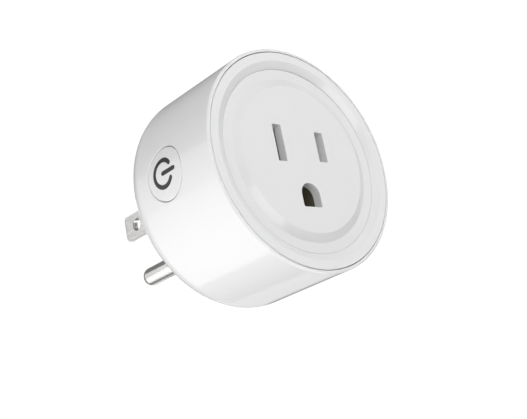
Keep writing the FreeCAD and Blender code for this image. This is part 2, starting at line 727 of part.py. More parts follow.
def strip_slot(y0, y1):
    """The slot that the fixed contact's strip passes through."""
    return box(STRIP_X[0] - FIT, STRIP_X[1] + FIT, y0, y1,
               RELAY_MID_Z - STRIP_HALF - FIT, RELAY_MID_Z + STRIP_HALF + FIT)


def relay_fixed_contact():
    top = RIVET_Y - 1.8
    strip = box(*STRIP_X, top, TAB_END, RELAY_MID_Z - STRIP_HALF,
                RELAY_MID_Z + STRIP_HALF)
    rivet = rod_x(RIVET_Y, RELAY_MID_Z, RIVET_R, FIXED_FACE_X, STRIP_X[0])
    return fuse([strip, rivet])


# ---------------------------------------------------------------------------
# Main board and the parts on it
# ---------------------------------------------------------------------------

LEAD_R = 0.3
CAP_R = 4.0
CAP_PLACES = {"bulk_capacitor_a": (-15.9, -11.9), "bulk_capacitor_b": (15.9, -11.9)}
FILM_Z = (-22.4, -17.4)
FILM_HALF = 6.5
INDUCTOR = (14.4, 13.4)
VARISTOR_ANGLE = 137
VARISTOR_R = 20.5
RESISTOR = (-11.6, -18.2)
PART_SEAT = BOARD_FRONT - 0.3
LEAD_BITE = 0.2          # how far a lead runs into its part
BOARD_FLAT_X = -22.2
CAP_PITCH = 3.5
FILM_PITCH = 10.0
INDUCTOR_PITCH = 3.0
VARISTOR_PITCH = 5.0
RESISTOR_PITCH = 2.6
WAIST_R = 1.6            # waist of the inductor's drum core
DRUM_R = 3.0
DRUM_LEN = 7.0
DRUM_FLANGE = 1.2
SHUNT_X = (-16.1, -9.8)
SHUNT_Z = (-5.6, -2.4)

# Chips: place x and z, half sizes along x and z, height, legs on one side
CHIPS = {
    "bridge_rectifier": (-13.5, 10.0, 2.4, 2.0, 1.5, 2),
    "power_chip": (13.5, 6.5, 2.4, 1.9, 1.5, 4),
    "metering_chip": (13.5, -4.0, 2.4, 1.9, 1.5, 4),
}


def lead_pairs():
    """Every pair of round leads: centre, and half the pitch along x and z."""
    va = math.radians(VARISTOR_ANGLE)
    pairs = [(x, z, CAP_PITCH / 2, 0.0) for x, z in CAP_PLACES.values()]
    pairs.append((0.0, sum(FILM_Z) / 2, FILM_PITCH / 2, 0.0))
    pairs.append((INDUCTOR[0], INDUCTOR[1], 0.0, INDUCTOR_PITCH / 2))
    pairs.append((VARISTOR_R * math.cos(va), VARISTOR_R * math.sin(va),
                  VARISTOR_PITCH / 2 * math.sin(va), -VARISTOR_PITCH / 2 * math.cos(va)))
    pairs.append((RESISTOR[0] + RESISTOR_PITCH / 2, RESISTOR[1], RESISTOR_PITCH / 2, 0.0))
    return pairs


def lead_places():
    return [(x + s * dx, z + s * dz) for x, z, dx, dz in lead_pairs() for s in (-1, 1)]


def leads(index, y_top):
    """The two leads of one part, from its seat through the board."""
    return [rod_y(x, z, LEAD_R, y_top, TAB_END) for x, z in lead_places()[2 * index:2 * index + 2]]


def rounded_ends(cylinder, radius):
    """Round both rims of a plain cylinder."""
    rims = [e for e in cylinder.Edges if e.isClosed()]
    return cylinder.makeFillet(radius, rims)


def main_board():
    board = rod_y(0, 0, BOARD_R, BOARD_FRONT, BOARD_REAR)
    low = BOARD_FRONT - 1
    high = BOARD_REAR + 1
    # a flat edge leaves room for the button
    board = board.cut(box(-BOARD_R - 1, BOARD_FLAT_X, low, high, -BOARD_R, BOARD_R))
    for x in (-BLADE_X, BLADE_X):
        board = board.cut(slit_y(x, CONTACT_T, TAB_Z, low, high))
        board = board.cut(slit_y(x, BLADE_T, TAIL_Z, low, high))
    board = board.cut(slit_y(0, CONTACT_T, GROUND_TAB_Z, low, high))
    board = board.cut(slit_y(0, 2 * STRAP_TAB_HALF, STRAP_TAB_Z, low, high))
    board = board.cut(strip_slot(low, high))
    for x, z in relay_pin_places():
        board = board.cut(rod_y(x, z, RELAY_PIN_R + FIT, low, high))
    for x, z in lead_places():
        board = board.cut(rod_y(x, z, LEAD_R + FIT, low, high))
    screw_play = 0.15
    for x, z in CARRIER_SCREWS:
        board = board.cut(rod_y(x, z, SCREW_R + screw_play, low, high))
    return board


def bulk_capacitor(name):
    """A can with a rolled groove near its leads."""
    x, z = CAP_PLACES[name]
    length = 12.0
    edge = 0.5
    groove_y = PART_SEAT - 2.0
    groove_r = 0.7
    can = rod_y(x, z, CAP_R, PART_SEAT - length, PART_SEAT)
    can = rounded_ends(can, edge)
    groove = Part.makeTorus(CAP_R + groove_r / 2, groove_r, V(x, groove_y, z), V(0, 1, 0))
    index = list(CAP_PLACES).index(name)
    return fuse([can.cut(groove)] + leads(index, PART_SEAT - LEAD_BITE))


def safety_capacitor():
    tall = 10.5
    edge = 0.5
    body = box(-FILM_HALF, FILM_HALF, PART_SEAT - tall, PART_SEAT, *FILM_Z)
    return fuse([rounded_y(body, edge)] + leads(2, PART_SEAT - LEAD_BITE))


def inductor_core():
    """A drum core: two flanges and a waist."""
    x, z = INDUCTOR
    top = PART_SEAT - DRUM_LEN
    waist = rod_y(x, z, WAIST_R, top, PART_SEAT)
    foot = rod_y(x, z, DRUM_R, PART_SEAT - DRUM_FLANGE, PART_SEAT)
    head = rod_y(x, z, DRUM_R, top, top + DRUM_FLANGE)
    return fuse([waist, foot, head] + leads(3, PART_SEAT - LEAD_BITE))


def inductor_winding():
    x, z = INDUCTOR
    winding_r = DRUM_R - 0.3
    return tube_y(x, z, winding_r, WAIST_R + FIT, PART_SEAT - DRUM_LEN + DRUM_FLANGE + FIT,
                  PART_SEAT - DRUM_FLANGE - FIT)


def varistor():
    """A coated disc, edge-on to the shell."""
    thick = 3.4
    disc_r = 4.2
    rounding = 1.0
    middle_y = PART_SEAT - 0.6 - disc_r
    disc = rod_x(middle_y, 0, disc_r, VARISTOR_R - thick / 2, VARISTOR_R + thick / 2)
    disc = rounded_ends(disc, rounding)
    return fuse([turn_y(disc, VARISTOR_ANGLE)] + leads(4, middle_y - LEAD_BITE))


def fusible_resistor():
    """A resistor that stands on one lead; the other folds back to the board."""
    x, z = RESISTOR
    body_r = 1.5
    body_y = (PART_SEAT - 6.4, PART_SEAT - 0.4)
    rounding = 0.5
    top = body_y[0] - 1.0
    body = rounded_ends(rod_y(x, z, body_r, *body_y), rounding)
    near = rod_y(x, z, LEAD_R, top, TAB_END)
    across = rod_x(top, z, LEAD_R, x, x + RESISTOR_PITCH)
    ends = [Part.makeSphere(LEAD_R, V(a, top, z)) for a in (x, x + RESISTOR_PITCH)]
    far = rod_y(x + RESISTOR_PITCH, z, LEAD_R, top, TAB_END)
    return fuse([body, across, near, far] + ends)


def chip(x, z, half_x, half_z, height, legs):
    """A flat chip on the rear of the board with legs along both short sides."""
    standoff = 0.1
    leg_t = 0.25
    leg_half = 0.2
    leg_reach = 1.0
    body = box(x - half_x, x + half_x, BOARD_REAR + standoff, BOARD_REAR + height,
               z - half_z, z + half_z)
    pieces = [body]
    pitch = 2 * half_x / legs
    for i in range(legs):
        cx = x - half_x + pitch * (i + 0.5)
        pieces.append(box(cx - leg_half, cx + leg_half, BOARD_REAR, BOARD_REAR + leg_t,
                          z - half_z - leg_reach, z + half_z + leg_reach))
    return fuse(pieces)


def shunt_resistor():
    thick = 0.8
    return box(*SHUNT_X, BOARD_REAR, BOARD_REAR + thick, *SHUNT_Z)


# ---------------------------------------------------------------------------
# Radio module
# ---------------------------------------------------------------------------

WIFI_X = 15.6
WIFI_T = 0.8
WIFI_HALF = 7.6
WIFI_FRONT = BOARD_FRONT - 16.6
SHIELD_HALF = 6.0
SHIELD_TALL = 2.4
SHIELD_Y = (BOARD_FRONT - 11.8, BOARD_FRONT - 1.8)
SHIELD_T = 0.3           # sheet of the shield


def wifi_board():
    return box(WIFI_X, WIFI_X + WIFI_T, WIFI_FRONT, BOARD_FRONT, -WIFI_HALF, WIFI_HALF)


def wifi_shield():
    foot = WIFI_X + WIFI_T
    corner_r = 0.5
    can = box(foot, foot + SHIELD_TALL, *SHIELD_Y, -SHIELD_HALF, SHIELD_HALF)
    can = rounded_x(can, corner_r)
    inside = box(foot - 1, foot + SHIELD_TALL - SHIELD_T, SHIELD_Y[0] + SHIELD_T,
                 SHIELD_Y[1] - SHIELD_T, -SHIELD_HALF + SHIELD_T, SHIELD_HALF - SHIELD_T)
    return can.cut(inside)


def wifi_antenna():
    """A zigzag copper track near the front edge of the module."""
    x0 = WIFI_X + WIFI_T
    track = 0.5
    thick = 0.15
    step = 1.5
    bars = 9
    y_far = WIFI_FRONT + 0.7
    y_near = WIFI_FRONT + 3.4
    pieces = []
    for i in range(bars):
        z = step * (i - (bars - 1) / 2)
        pieces.append(box(x0, x0 + thick, y_far, y_near, z - track / 2, z + track / 2))
        if i < bars - 1:
            y = y_far if i % 2 else y_near - track
            pieces.append(box(x0, x0 + thick, y, y + track, z - track / 2, z + step + track / 2))
    return fuse(pieces)


# ---------------------------------------------------------------------------
# Button board and its switch
# ---------------------------------------------------------------------------

BUTTON_BOARD_X = -17.4
BUTTON_BOARD_T = 1.2
SWITCH_HALF = 3.0
SWITCH_TOP = BUTTON_BOARD_X - 3.5
PLUNGER_TOP = SWITCH_TOP - 1.5
PLUNGER_R = 1.7
CAVITY_R = 2.5
CAVITY_FLOOR = BUTTON_BOARD_X - 1.0
FOOT_T = 0.6
FOOT_X = CAVITY_FLOOR - 1.0      # inner end of the plunger's foot
COVER_T = 0.3
SWITCH_CORNER_R = 0.4
BUTTON_BOARD_FRONT = BOARD_FRONT - 13.4
BUTTON_BOARD_Z = (-7.0, 8.0)


def button_board():
    return box(BUTTON_BOARD_X, BUTTON_BOARD_X + BUTTON_BOARD_T, BUTTON_BOARD_FRONT, BOARD_FRONT,
               *BUTTON_BOARD_Z)


def switch_body():
    body = box(SWITCH_TOP + COVER_T, BUTTON_BOARD_X, BUTTON_Y - SWITCH_HALF, BUTTON_Y + SWITCH_HALF,
               BUTTON_Z - SWITCH_HALF, BUTTON_Z + SWITCH_HALF)
    body = rounded_x(body, SWITCH_CORNER_R)
    body = body.cut(rod_x(BUTTON_Y, BUTTON_Z, PLUNGER_R + EPS, SWITCH_TOP - 1, CAVITY_FLOOR))
    cavity = rod_x(BUTTON_Y, BUTTON_Z, CAVITY_R, FOOT_X - FOOT_T - EPS, CAVITY_FLOOR)
    return body.cut(cavity)


def switch_cover():
    hole_r = PLUNGER_R + 0.2
    plate = box(SWITCH_TOP, SWITCH_TOP + COVER_T - FIT, BUTTON_Y - SWITCH_HALF,
                BUTTON_Y + SWITCH_HALF, BUTTON_Z - SWITCH_HALF, BUTTON_Z + SWITCH_HALF)
    plate = rounded_x(plate, SWITCH_CORNER_R)
    return plate.cut(rod_x(BUTTON_Y, BUTTON_Z, hole_r, SWITCH_TOP - 1, SWITCH_TOP + 1))


def switch_plunger():
    stem = rod_x(BUTTON_Y, BUTTON_Z, PLUNGER_R, PLUNGER_TOP, FOOT_X)
    foot = rod_x(BUTTON_Y, BUTTON_Z, CAVITY_R - EPS, FOOT_X - FOOT_T, FOOT_X)
    return fuse([stem, foot])


def switch_dome():
    """A thin snap dome at rest, with room for the plunger's travel."""
    rise = 0.5
    thick = 0.1
    half = CAVITY_R - 0.2
    radius = (half * half + rise * rise) / (2 * rise)
    centre = V(CAVITY_FLOOR - rise + radius, BUTTON_Y, BUTTON_Z)
    bowl = Part.makeSphere(radius, centre).cut(Part.makeSphere(radius - thick, centre))
    keep = rod_x(BUTTON_Y, BUTTON_Z, half, CAVITY_FLOOR - rise - 1, CAVITY_FLOOR)
    return bowl.common(keep)


def status_led():
    """A small lamp beside the switch: a block with a narrower lens on it."""
    y = BUTTON_Y - 4.8
    half_y = 0.4
    block_half = 0.8
    lens_half = 0.5
    layer = 0.35
    block_top = BUTTON_BOARD_X - layer
    body = box(block_top, BUTTON_BOARD_X, y - half_y, y + half_y,
               BUTTON_Z - block_half, BUTTON_Z + block_half)
    lens = box(block_top - layer, block_top, y - half_y, y + half_y,
               BUTTON_Z - lens_half, BUTTON_Z + lens_half)
    return fuse([body, lens])


# ---------------------------------------------------------------------------
# Everything, one file per node
# ---------------------------------------------------------------------------

def build():
    nodes = {
        "housing_shell": housing_shell(),
        "button_cap": button_cap(),
        "button_symbol": button_symbol(),
        "front_bezel": front_bezel(),
        "socket_face": socket_face(),
        "contact_carrier": contact_carrier(),
        "neutral_contact": blade_contact(-BLADE_X),
        "line_contact": blade_contact(BLADE_X),
        "ground_contact": ground_contact(),
        "rear_cover": rear_cover(),
        "blade_retainer": blade_retainer(),
        "retainer_screws": screws(RETAINER_SCREWS, RETAINER_Y, RETAINER_SCREW_LEN, 1),
        "neutral_blade": blade(-BLADE_X),
        "line_blade": blade(BLADE_X),
        "ground_pin": ground_pin(),
        "ground_strap": ground_strap(),
        "main_board": main_board(),
        "board_screws": screws(CARRIER_SCREWS, BOARD_REAR, BOARD_SCREW_LEN, -1),
        "relay_case": relay_case(),
        "relay_base": relay_base(),
        "relay_pins": relay_pins(),
        "relay_bobbin": relay_bobbin(),
        "relay_coil": relay_coil(),
        "relay_core": relay_core(),
        "relay_yoke": relay_yoke(),
        "relay_armature": relay_armature(),
        "relay_contact_spring": relay_contact_spring(),
        "relay_fixed_contact": relay_fixed_contact(),
        "safety_capacitor": safety_capacitor(),
        "inductor_core": inductor_core(),
        "inductor_winding": inductor_winding(),
        "varistor": varistor(),
        "fusible_resistor": fusible_resistor(),
        "shunt_resistor": shunt_resistor(),
        "wifi_board": wifi_board(),
        "wifi_shield": wifi_shield(),
        "wifi_antenna": wifi_antenna(),
        "button_board": button_board(),
        "switch_body": switch_body(),
        "switch_cover": switch_cover(),
        "switch_plunger": switch_plunger(),
        "switch_dome": switch_dome(),
        "status_led": status_led(),
    }
    for name in CAP_PLACES:
        nodes[name] = bulk_capacitor(name)
    for name, values in CHIPS.items():
        nodes[name] = chip(*values)
    os.makedirs("parts", exist_ok=True)
    for name, shape in nodes.items():
        save(shape, name)


build()
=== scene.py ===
import math

import bmesh
import bpy
from mathutils import Matrix, Vector


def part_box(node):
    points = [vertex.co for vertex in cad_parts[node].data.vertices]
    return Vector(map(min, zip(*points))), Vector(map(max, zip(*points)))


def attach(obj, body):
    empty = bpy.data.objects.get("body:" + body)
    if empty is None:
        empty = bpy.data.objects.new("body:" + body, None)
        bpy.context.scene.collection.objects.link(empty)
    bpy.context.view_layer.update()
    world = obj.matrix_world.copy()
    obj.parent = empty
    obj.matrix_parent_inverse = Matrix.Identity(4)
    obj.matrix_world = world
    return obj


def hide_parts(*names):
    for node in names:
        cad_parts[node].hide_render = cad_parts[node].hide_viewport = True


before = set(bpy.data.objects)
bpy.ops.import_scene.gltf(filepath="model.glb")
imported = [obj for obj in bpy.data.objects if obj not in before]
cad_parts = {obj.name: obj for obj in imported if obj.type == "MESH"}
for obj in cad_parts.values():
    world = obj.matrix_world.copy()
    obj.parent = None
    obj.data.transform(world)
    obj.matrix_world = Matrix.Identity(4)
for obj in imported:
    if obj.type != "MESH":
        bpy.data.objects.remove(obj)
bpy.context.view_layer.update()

# ---------------------------------------------------------------------------
# Sizes. Everything is in metres and in the part's frame: the origin is the
# centre of the wall face, the socket face looks along -Y and the prongs point
# along +Y. Outer sizes and places come from the boxes of the CAD nodes. The
# others repeat the CAD model's dimensions, or are small edges added here.
# ---------------------------------------------------------------------------

MM = 0.001

SHELL_LOW, SHELL_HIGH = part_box("housing_shell")
_, BEZEL_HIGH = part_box("front_bezel")
_, PLATE_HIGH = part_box("socket_face")
CAP_LOW, CAP_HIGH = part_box("button_cap")
SYMBOL_LOW, SYMBOL_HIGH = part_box("button_symbol")
COVER_LOW, COVER_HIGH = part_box("rear_cover")
PIN_LOW, PIN_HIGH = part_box("ground_pin")

# Shell
BODY_R = SHELL_HIGH.x
FRONT_Y = SHELL_LOW.y
SHOULDER_Y = SHELL_HIGH.y
SHOULDER_ROUND = 5.6 * MM
WALL = 1.8 * MM
INNER_R = BODY_R - WALL
REAR_OPENING_R = 19.6 * MM
REAR_EDGE = 0.15 * MM
LIP_ROUND = 0.6 * MM               # outer edge of the front lip
LIP_INNER_ROUND = 0.12 * MM
REBATE_Y = FRONT_Y + 3.2 * MM      # the bezel stands in the lip down to here

# Bezel
BEZEL_R = BEZEL_HIGH.x
SEAM_R = BEZEL_R + 0.15 * MM       # inner wall of the shell's lip
BEZEL_FLAT_R = 24.0 * MM
BEZEL_EDGE = 0.22 * MM
BEZEL_SOFT = 0.12 * MM             # softening where the flat turns into the bevel
BEZEL_SOFT_DROP = 0.012 * MM
BEZEL_SKIRT_R = INNER_R - 0.1 * MM
BEZEL_SKIRT_WALL = 1.4 * MM
BEZEL_LEDGE_R = 20.8 * MM
BEZEL_LEDGE_T = 1.0 * MM
BEZEL_LEDGE_GAP = 0.05 * MM

# Socket face and the sunk channel around it
PLATE_R = PLATE_HIGH.x
PLATE_BACK = FRONT_Y + 2.25 * MM
PLATE_SOFT = 0.15 * MM
PLATE_SOFT_DROP = 0.015 * MM
PLATE_RIM = 0.03 * MM
CHANNEL_R = 22.2 * MM
CHANNEL_INNER_R = 19.65 * MM
CHANNEL_Y = FRONT_Y + 0.93 * MM
CHANNEL_WALL = 0.9 * MM            # depth of the bezel's inner wall below the channel
STEP = 0.12 * MM                   # the bezel's inner edge stands over the channel
STEP_CHAMFER_W = 0.25 * MM
STEP_CHAMFER_TOP = 0.11 * MM
STEP_CHAMFER_FOOT = 0.10 * MM
LAND_R = CHANNEL_R - 0.005 * MM
LAND_Y = CHANNEL_Y + 0.14 * MM     # floor of the shallow seam around the plate
DISC_R = 17.7 * MM
COLLAR_T = 0.9 * MM                # rim behind the line slot
COLLAR_DEPTH = 0.75 * MM

# Blades, slots, ground pin and ground hole
BLADE_X = 6.35 * MM
BLADE_Z = 3.28 * MM
PIN_Z = BLADE_Z - 11.9 * MM
SLOT_HALF_W = 1.25 * MM
SLOT_CORNER_R = 0.25 * MM
NEUTRAL_HALF_H = 4.4 * MM
LINE_HALF_H = 3.625 * MM
HOLE_HALF_W = 2.75 * MM
HOLE_H = 5.6 * MM
HOLE_DROP = 0.09 * MM              # the hole's middle lies below the pin's axis
HOLE_BOTTOM = PIN_Z - HOLE_DROP - HOLE_H / 2
HOLE_CORNER_R = 0.3 * MM
HOLE_EDGE = 0.10 * MM              # rounding where slots and holes meet a face

BLADE_HALF_W = 3.175 * MM
BLADE_WIDE_HALF_W = BLADE_HALF_W + 1.0 * MM
BLADE_CLIP = 1.1 * MM              # clipped corners of the tip
BLADE_THIN_L = 0.9 * MM            # length of the tip's chamfer
BLADE_THIN_T = 0.45 * MM           # what the chamfer takes off each side
BLADE_HOLE_Y = 11.9 * MM
BLADE_HOLE_R = 1.6 * MM
BLADE_SHOULDER_Y = -7.0 * MM
BLADE_WIDE_Y = -17.5 * MM
BLADE_TAIL_TOP = -0.6 * MM         # upper edge of the tail that goes to the board
BLADE_SOFT_EDGE = 0.09 * MM
BLADE_SOFT_STEPS = 3
BLADE_SOFT_ANGLE = math.radians(20)

PIN_R = 2.35 * MM
PIN_ROOT_R = 3.0 * MM
PIN_ROOT_EDGE = 0.08 * MM
PIN_FOOT = 0.1 * MM                # first row of the shank above the wall face
PIN_SHANK_R = 1.6 * MM
PIN_NECK_R = 1.1 * MM
PIN_HEAD_R = 1.9 * MM
PIN_ROOT_Y = -7.0 * MM
PIN_COLLAR_Y = -9.0 * MM
PIN_STRAP_Y = -17.5 * MM
PIN_NECK_Y = -18.3 * MM

# Rear cover
NECK_R = 19.5 * MM
WALL_FACE_R = 14.0 * MM
COVER_WALL = 2.0 * MM
COVER_FLOOR_Y = -2.2 * MM
COVER_EDGE = 0.8 * MM
COVER_EDGE_RUN = 0.2 * MM
COVER_GAP = 0.05 * MM
COVER_SEAM = 0.1 * MM
SLIT_HALF_W = 0.77 * MM            # the blades' slits in the wall face
SLIT_HALF_H = 3.195 * MM
SLIT_CORNER_R = 0.05 * MM
PIN_HOLE_R = 3.02 * MM

# Button and its symbol
BUTTON_Y = (CAP_LOW.y + CAP_HIGH.y) / 2
BUTTON_Z = (CAP_LOW.z + CAP_HIGH.z) / 2
BUTTON_R = 6.05 * MM
BUTTON_HOLE_R = 6.2 * MM
BUTTON_EDGE = 0.22 * MM            # rounding of the cap and of its hole
BOSS_X = -24.0 * MM                # inner end of the button's hole
BOSS_WALL = 2.0 * MM
FLANGE_X = BOSS_X + 0.05 * MM
FLANGE_T = 0.8 * MM
FLANGE_R = BUTTON_R + 1.0 * MM
POST_R = 1.6 * MM
CAP_RINGS = (0.12, 0.3, 0.48, 0.66, 0.82, 0.92)            # as parts of the cap's radius
PATCH_BLENDS = (0.15, 0.3, 0.45, 0.6, 0.75, 0.88, 1.0)     # from the square to the round hole

STROKE_HALF_W = 0.55 * MM
STROKE_LIFT = 0.012 * MM           # the symbol stands this far over the cap
STROKE_SOFT = 0.05 * MM
STROKE_DEPTH = 0.12 * MM
STROKE_END_STEPS = 6
STROKE_END_SHARE = 0.02            # a round end stops at this part of the half width
SYMBOL_HALF_GAP = 35               # degrees
SYMBOL_RING_STEPS = 72
SYMBOL_BAR_STEPS = 8

# Fineness of the meshes
SEGMENTS = 240                     # around the body
PIN_SEGMENTS = 96
ROUND_SEGMENTS = 64
BLADE_HOLE_SEGMENTS = 56
HOLE_EDGE_STEPS = 4
EDGE_STEPS = 5
LIP_STEPS = 8
INNER_SHOULDER_STEPS = 12
DOME_STEPS = 22
DOME_END = 88                      # degrees; the pole closes the rest
SHOULDER_STEPS = 24
HOLE_TOP_STEPS = 28
SLIT_STEPS = 2
SHARP_ANGLE = math.radians(38)     # edges sharper than this are shaded as creases
MERGE = 1e-7
PATCH = 13                         # half the button patch, in grid cells
PATCH_LOW = SEGMENTS // 2 - PATCH
PATCH_HIGH = SEGMENTS // 2 + PATCH
CAP_POINTS = 8 * PATCH

# Camera, floor and surround
CAMERA_PLACE = Vector((-168.87, -204.56, -78.06)) * MM
CAMERA_AZIMUTH = math.radians(43.69)
CAMERA_PITCH = math.radians(16.32)
CAMERA_ROLL = math.radians(11.33)
CAMERA_LENS_MM = 74.86
CAMERA_SENSOR_MM = 36.0
CAMERA_NEAR = 0.01
CAMERA_FAR = 20.0

FLOOR_Z = -1.2                     # the plug hangs free, as in a wall socket
FLOOR_HALF = 4.0
FLOOR_CELLS = 8
FLOOR_COLOUR = (0.90, 0.90, 0.90)
FLOOR_ROUGHNESS = 0.6
FLOOR_LAMP_HEIGHT = 0.5
FLOOR_LAMP_SIDE = 12.0
FLOOR_LAMP_LEVEL = 1.05

SURROUND_LEVEL = 0.24              # what lights the plug and shows in it
SURROUND_SEEN = 1.02               # what the camera sees
CENTRE = (0.0, 0.0, 0.0)
MIDDLE = (0.0, -0.02, 0.0)         # the middle of the body, where most lamps aim


# ---------------------------------------------------------------------------
# Mesh helpers
# ---------------------------------------------------------------------------

def arc(centre_a, centre_b, radius, start, end, steps):
    """Points of a rounding, from start to end in degrees."""
    points = []
    for i in range(steps + 1):
        t = math.radians(start + (end - start) * i / steps)
        points.append((centre_a + radius * math.cos(t), centre_b + radius * math.sin(t)))
    return points


def finish_mesh(bm, name, body, material, node):
    """Turn a bmesh into a smooth-shaded piece that rides on a body in a CAD node's place."""
    bmesh.ops.remove_doubles(bm, verts=bm.verts, dist=MERGE)
    bmesh.ops.recalc_face_normals(bm, faces=bm.faces)
    for face in bm.faces:
        face.smooth = True
    for edge in bm.edges:
        if len(edge.link_faces) == 2:
            edge.smooth = edge.calc_face_angle() < SHARP_ANGLE
    mesh = bpy.data.meshes.new(name)
    bm.to_mesh(mesh)
    bm.free()
    piece = bpy.data.objects.new(name, mesh)
    bpy.context.scene.collection.objects.link(piece)
    weighted = piece.modifiers.new("weighted", "WEIGHTED_NORMAL")
    weighted.mode = "FACE_AREA"
    weighted.weight = 100
    weighted.keep_sharp = True
    mesh.materials.append(material)
    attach(piece, body)
    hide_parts(node)
    return piece


def ring_points(radius, y, count=SEGMENTS, centre=(0.0, 0.0)):
    """A ring of points about an axis along Y."""
    return [Vector((centre[0] + radius * math.cos(2 * math.pi * j / count), y,
                    centre[1] + radius * math.sin(2 * math.pi * j / count)))
            for j in range(count)]


def bridge(bm, first, second):
    """Quads between two closed rows of vertices of the same length."""
    count = len(first)
    for j in range(count):
        k = (j + 1) % count
        quad = []
        for v in (first[j], first[k], second[k], second[j]):
            if v not in quad:
                quad.append(v)
        if len(quad) > 2 and not bm.faces.get(quad):
            bm.faces.new(quad)


def bridge_all(bm, rows):
    """Bridge each row to the next."""
    for a, b in zip(rows, rows[1:]):
        bridge(bm, a, b)


def lathe(bm, profile, count=SEGMENTS, centre=(0.0, 0.0), loop=False):
    """Turn (r, y) points about an axis along Y. A radius of 0 is a pole."""
    rows = []
    for r, y in profile:
        if r <= 0:
            rows.append([bm.verts.new((centre[0], y, centre[1]))] * count)
        else:
            rows.append([bm.verts.new(p) for p in ring_points(r, y, count, centre)])
    bridge_all(bm, rows)
    if loop:
        bridge(bm, rows[-1], rows[0])
    return rows


def fill_plane(bm, loops):
    """Triangles between an outer loop and the hole loops inside it."""
    edges = []
    for loop in loops:
        for a, b in zip(loop, loop[1:] + loop[:1]):
            edges.append(bm.edges.get((a, b)) or bm.edges.new((a, b)))
    bmesh.ops.triangle_fill(bm, use_beauty=True, use_dissolve=False, edges=edges)


def hole_rows(bm, outline, steps):
    """The wall of a hole. Each step is (offset, y), and outline(offset) gives (x, z)."""
    rows = [[bm.verts.new((x, y, z)) for x, z in outline(offset)] for offset, y in steps]
    bridge_all(bm, rows)
    return rows


def quarter_round(first, steps=EDGE_STEPS):
    """(across, down) along a quarter rounding of radius 1, from step first to the last."""
    angles = [math.pi / 2 * i / steps for i in range(first, steps + 1)]
    return [(math.sin(a), 1 - math.cos(a)) for a in angles]


def edge_steps(y, radius, sign):
    """A rounded edge from a flat at y into a hole, as (offset, y) steps."""
    return [(radius * (1 - across), y + sign * radius * down)
            for across, down in quarter_round(0, HOLE_EDGE_STEPS)]


# ---------------------------------------------------------------------------
# Outlines of the holes, in (x, z), each grown by an offset
# ---------------------------------------------------------------------------

def rounded_rectangle(cx, cz, half_w, half_h, corner_r, offset, steps=EDGE_STEPS):
    r = corner_r + offset
    w = half_w + offset - r
    h = half_h + offset - r
    points = []
    for sx, sz, start in ((1, 1, 0), (-1, 1, 90), (-1, -1, 180), (1, -1, 270)):
        points += arc(cx + sx * w, cz + sz * h, r, start, start + 90, steps)
    return points


def slot_outline(x, half_h):
    return lambda offset: rounded_rectangle(x, BLADE_Z, SLOT_HALF_W, half_h, SLOT_CORNER_R, offset)


def ground_outline(offset):
    """D-shaped: flat at the bottom, round at the top."""
    top = HOLE_BOTTOM + HOLE_H - HOLE_HALF_W
    points = arc(0.0, top, HOLE_HALF_W + offset, 0, 180, HOLE_TOP_STEPS)
    c = HOLE_CORNER_R + offset
    corner_z = HOLE_BOTTOM - offset + c
    points += arc(-HOLE_HALF_W - offset + c, corner_z, c, 180, 270, EDGE_STEPS)
    points += arc(HOLE_HALF_W + offset - c, corner_z, c, 270, 360, EDGE_STEPS)
    return points


def slit_outline(x):
    return lambda offset: rounded_rectangle(x, BLADE_Z, SLIT_HALF_W, SLIT_HALF_H, SLIT_CORNER_R,
                                            offset, SLIT_STEPS)


def pin_hole_outline(offset):
    r = PIN_HOLE_R + offset
    return [(r * math.cos(2 * math.pi * j / ROUND_SEGMENTS),
             PIN_Z + r * math.sin(2 * math.pi * j / ROUND_SEGMENTS)) for j in range(ROUND_SEGMENTS)]


# ---------------------------------------------------------------------------
# Materials
# ---------------------------------------------------------------------------

NOISE_LOW = 0.3                    # most of a noise lies between these two
NOISE_HIGH = 0.7
MIX_FACTOR, MIX_FIRST, MIX_SECOND, MIX_RESULT = 0, 6, 7, 2     # a colour Mix node's sockets

FLOW_SCALE = 45.0                  # flow marks in moulded plastic
FLOW_DETAIL = 3.0
FLOW_SHADE = 0.988
RIPPLE_SCALE = 5200.0
RIPPLE_GLOSS = (0.9, 1.12)         # how far the ripple moves the roughness
PLASTIC_IOR = 1.49

STREAK_SCALE = 2600.0              # rolling and polishing marks in metal
STREAK_DETAIL = 4.0
STREAK_ROUGHNESS = 0.6
STREAK_SHADE = 0.9
STREAK_GLOSS = (0.75, 1.3)

MASK_GREEN = (0.02, 0.16, 0.07)
MASK_LIGHT_GREEN = (0.022, 0.175, 0.078)
MASK_ROUGHNESS = 0.35
WEAVE_SCALE = 1600.0
WEAVE_DEPTH = 0.01 * MM
WEAVE_STRENGTH = 0.4

WIRE_COPPER = (0.72, 0.30, 0.14)
# painted light on the windings: the shadow colour is painted shade in the grooves between turns,
# the crest colour is a painted highlight
WIRE_SHADOW = (0.42, 0.16, 0.07)
WIRE_CREST_HIGHLIGHT = (0.78, 0.36, 0.18)
WIRE_ROUGHNESS = 0.28
WIRE_SCALE = 900.0
WIRE_DEPTH = 0.08 * MM


def new_material(name, colour, roughness, metallic=0.0):
    mat = bpy.data.materials.new(name)
    mat.use_nodes = True
    shader = mat.node_tree.nodes["Principled BSDF"]
    shader.inputs["Base Color"].default_value = (*colour, 1.0)
    shader.inputs["Roughness"].default_value = roughness
    shader.inputs["Metallic"].default_value = metallic
    return mat, shader


def object_coords(mat, scale=(1.0, 1.0, 1.0)):
    coords = mat.node_tree.nodes.new("ShaderNodeTexCoord")
    mapping = mat.node_tree.nodes.new("ShaderNodeMapping")
    mapping.inputs["Scale"].default_value = scale
    mat.node_tree.links.new(coords.outputs["Object"], mapping.inputs["Vector"])
    return mapping.outputs["Vector"]


def noise(mat, vector, scale, detail=2.0, roughness=0.5):
    node = mat.node_tree.nodes.new("ShaderNodeTexNoise")
    node.inputs["Scale"].default_value = scale
    node.inputs["Detail"].default_value = detail
    node.inputs["Roughness"].default_value = roughness
    mat.node_tree.links.new(vector, node.inputs["Vector"])
    return node.outputs["Fac"]


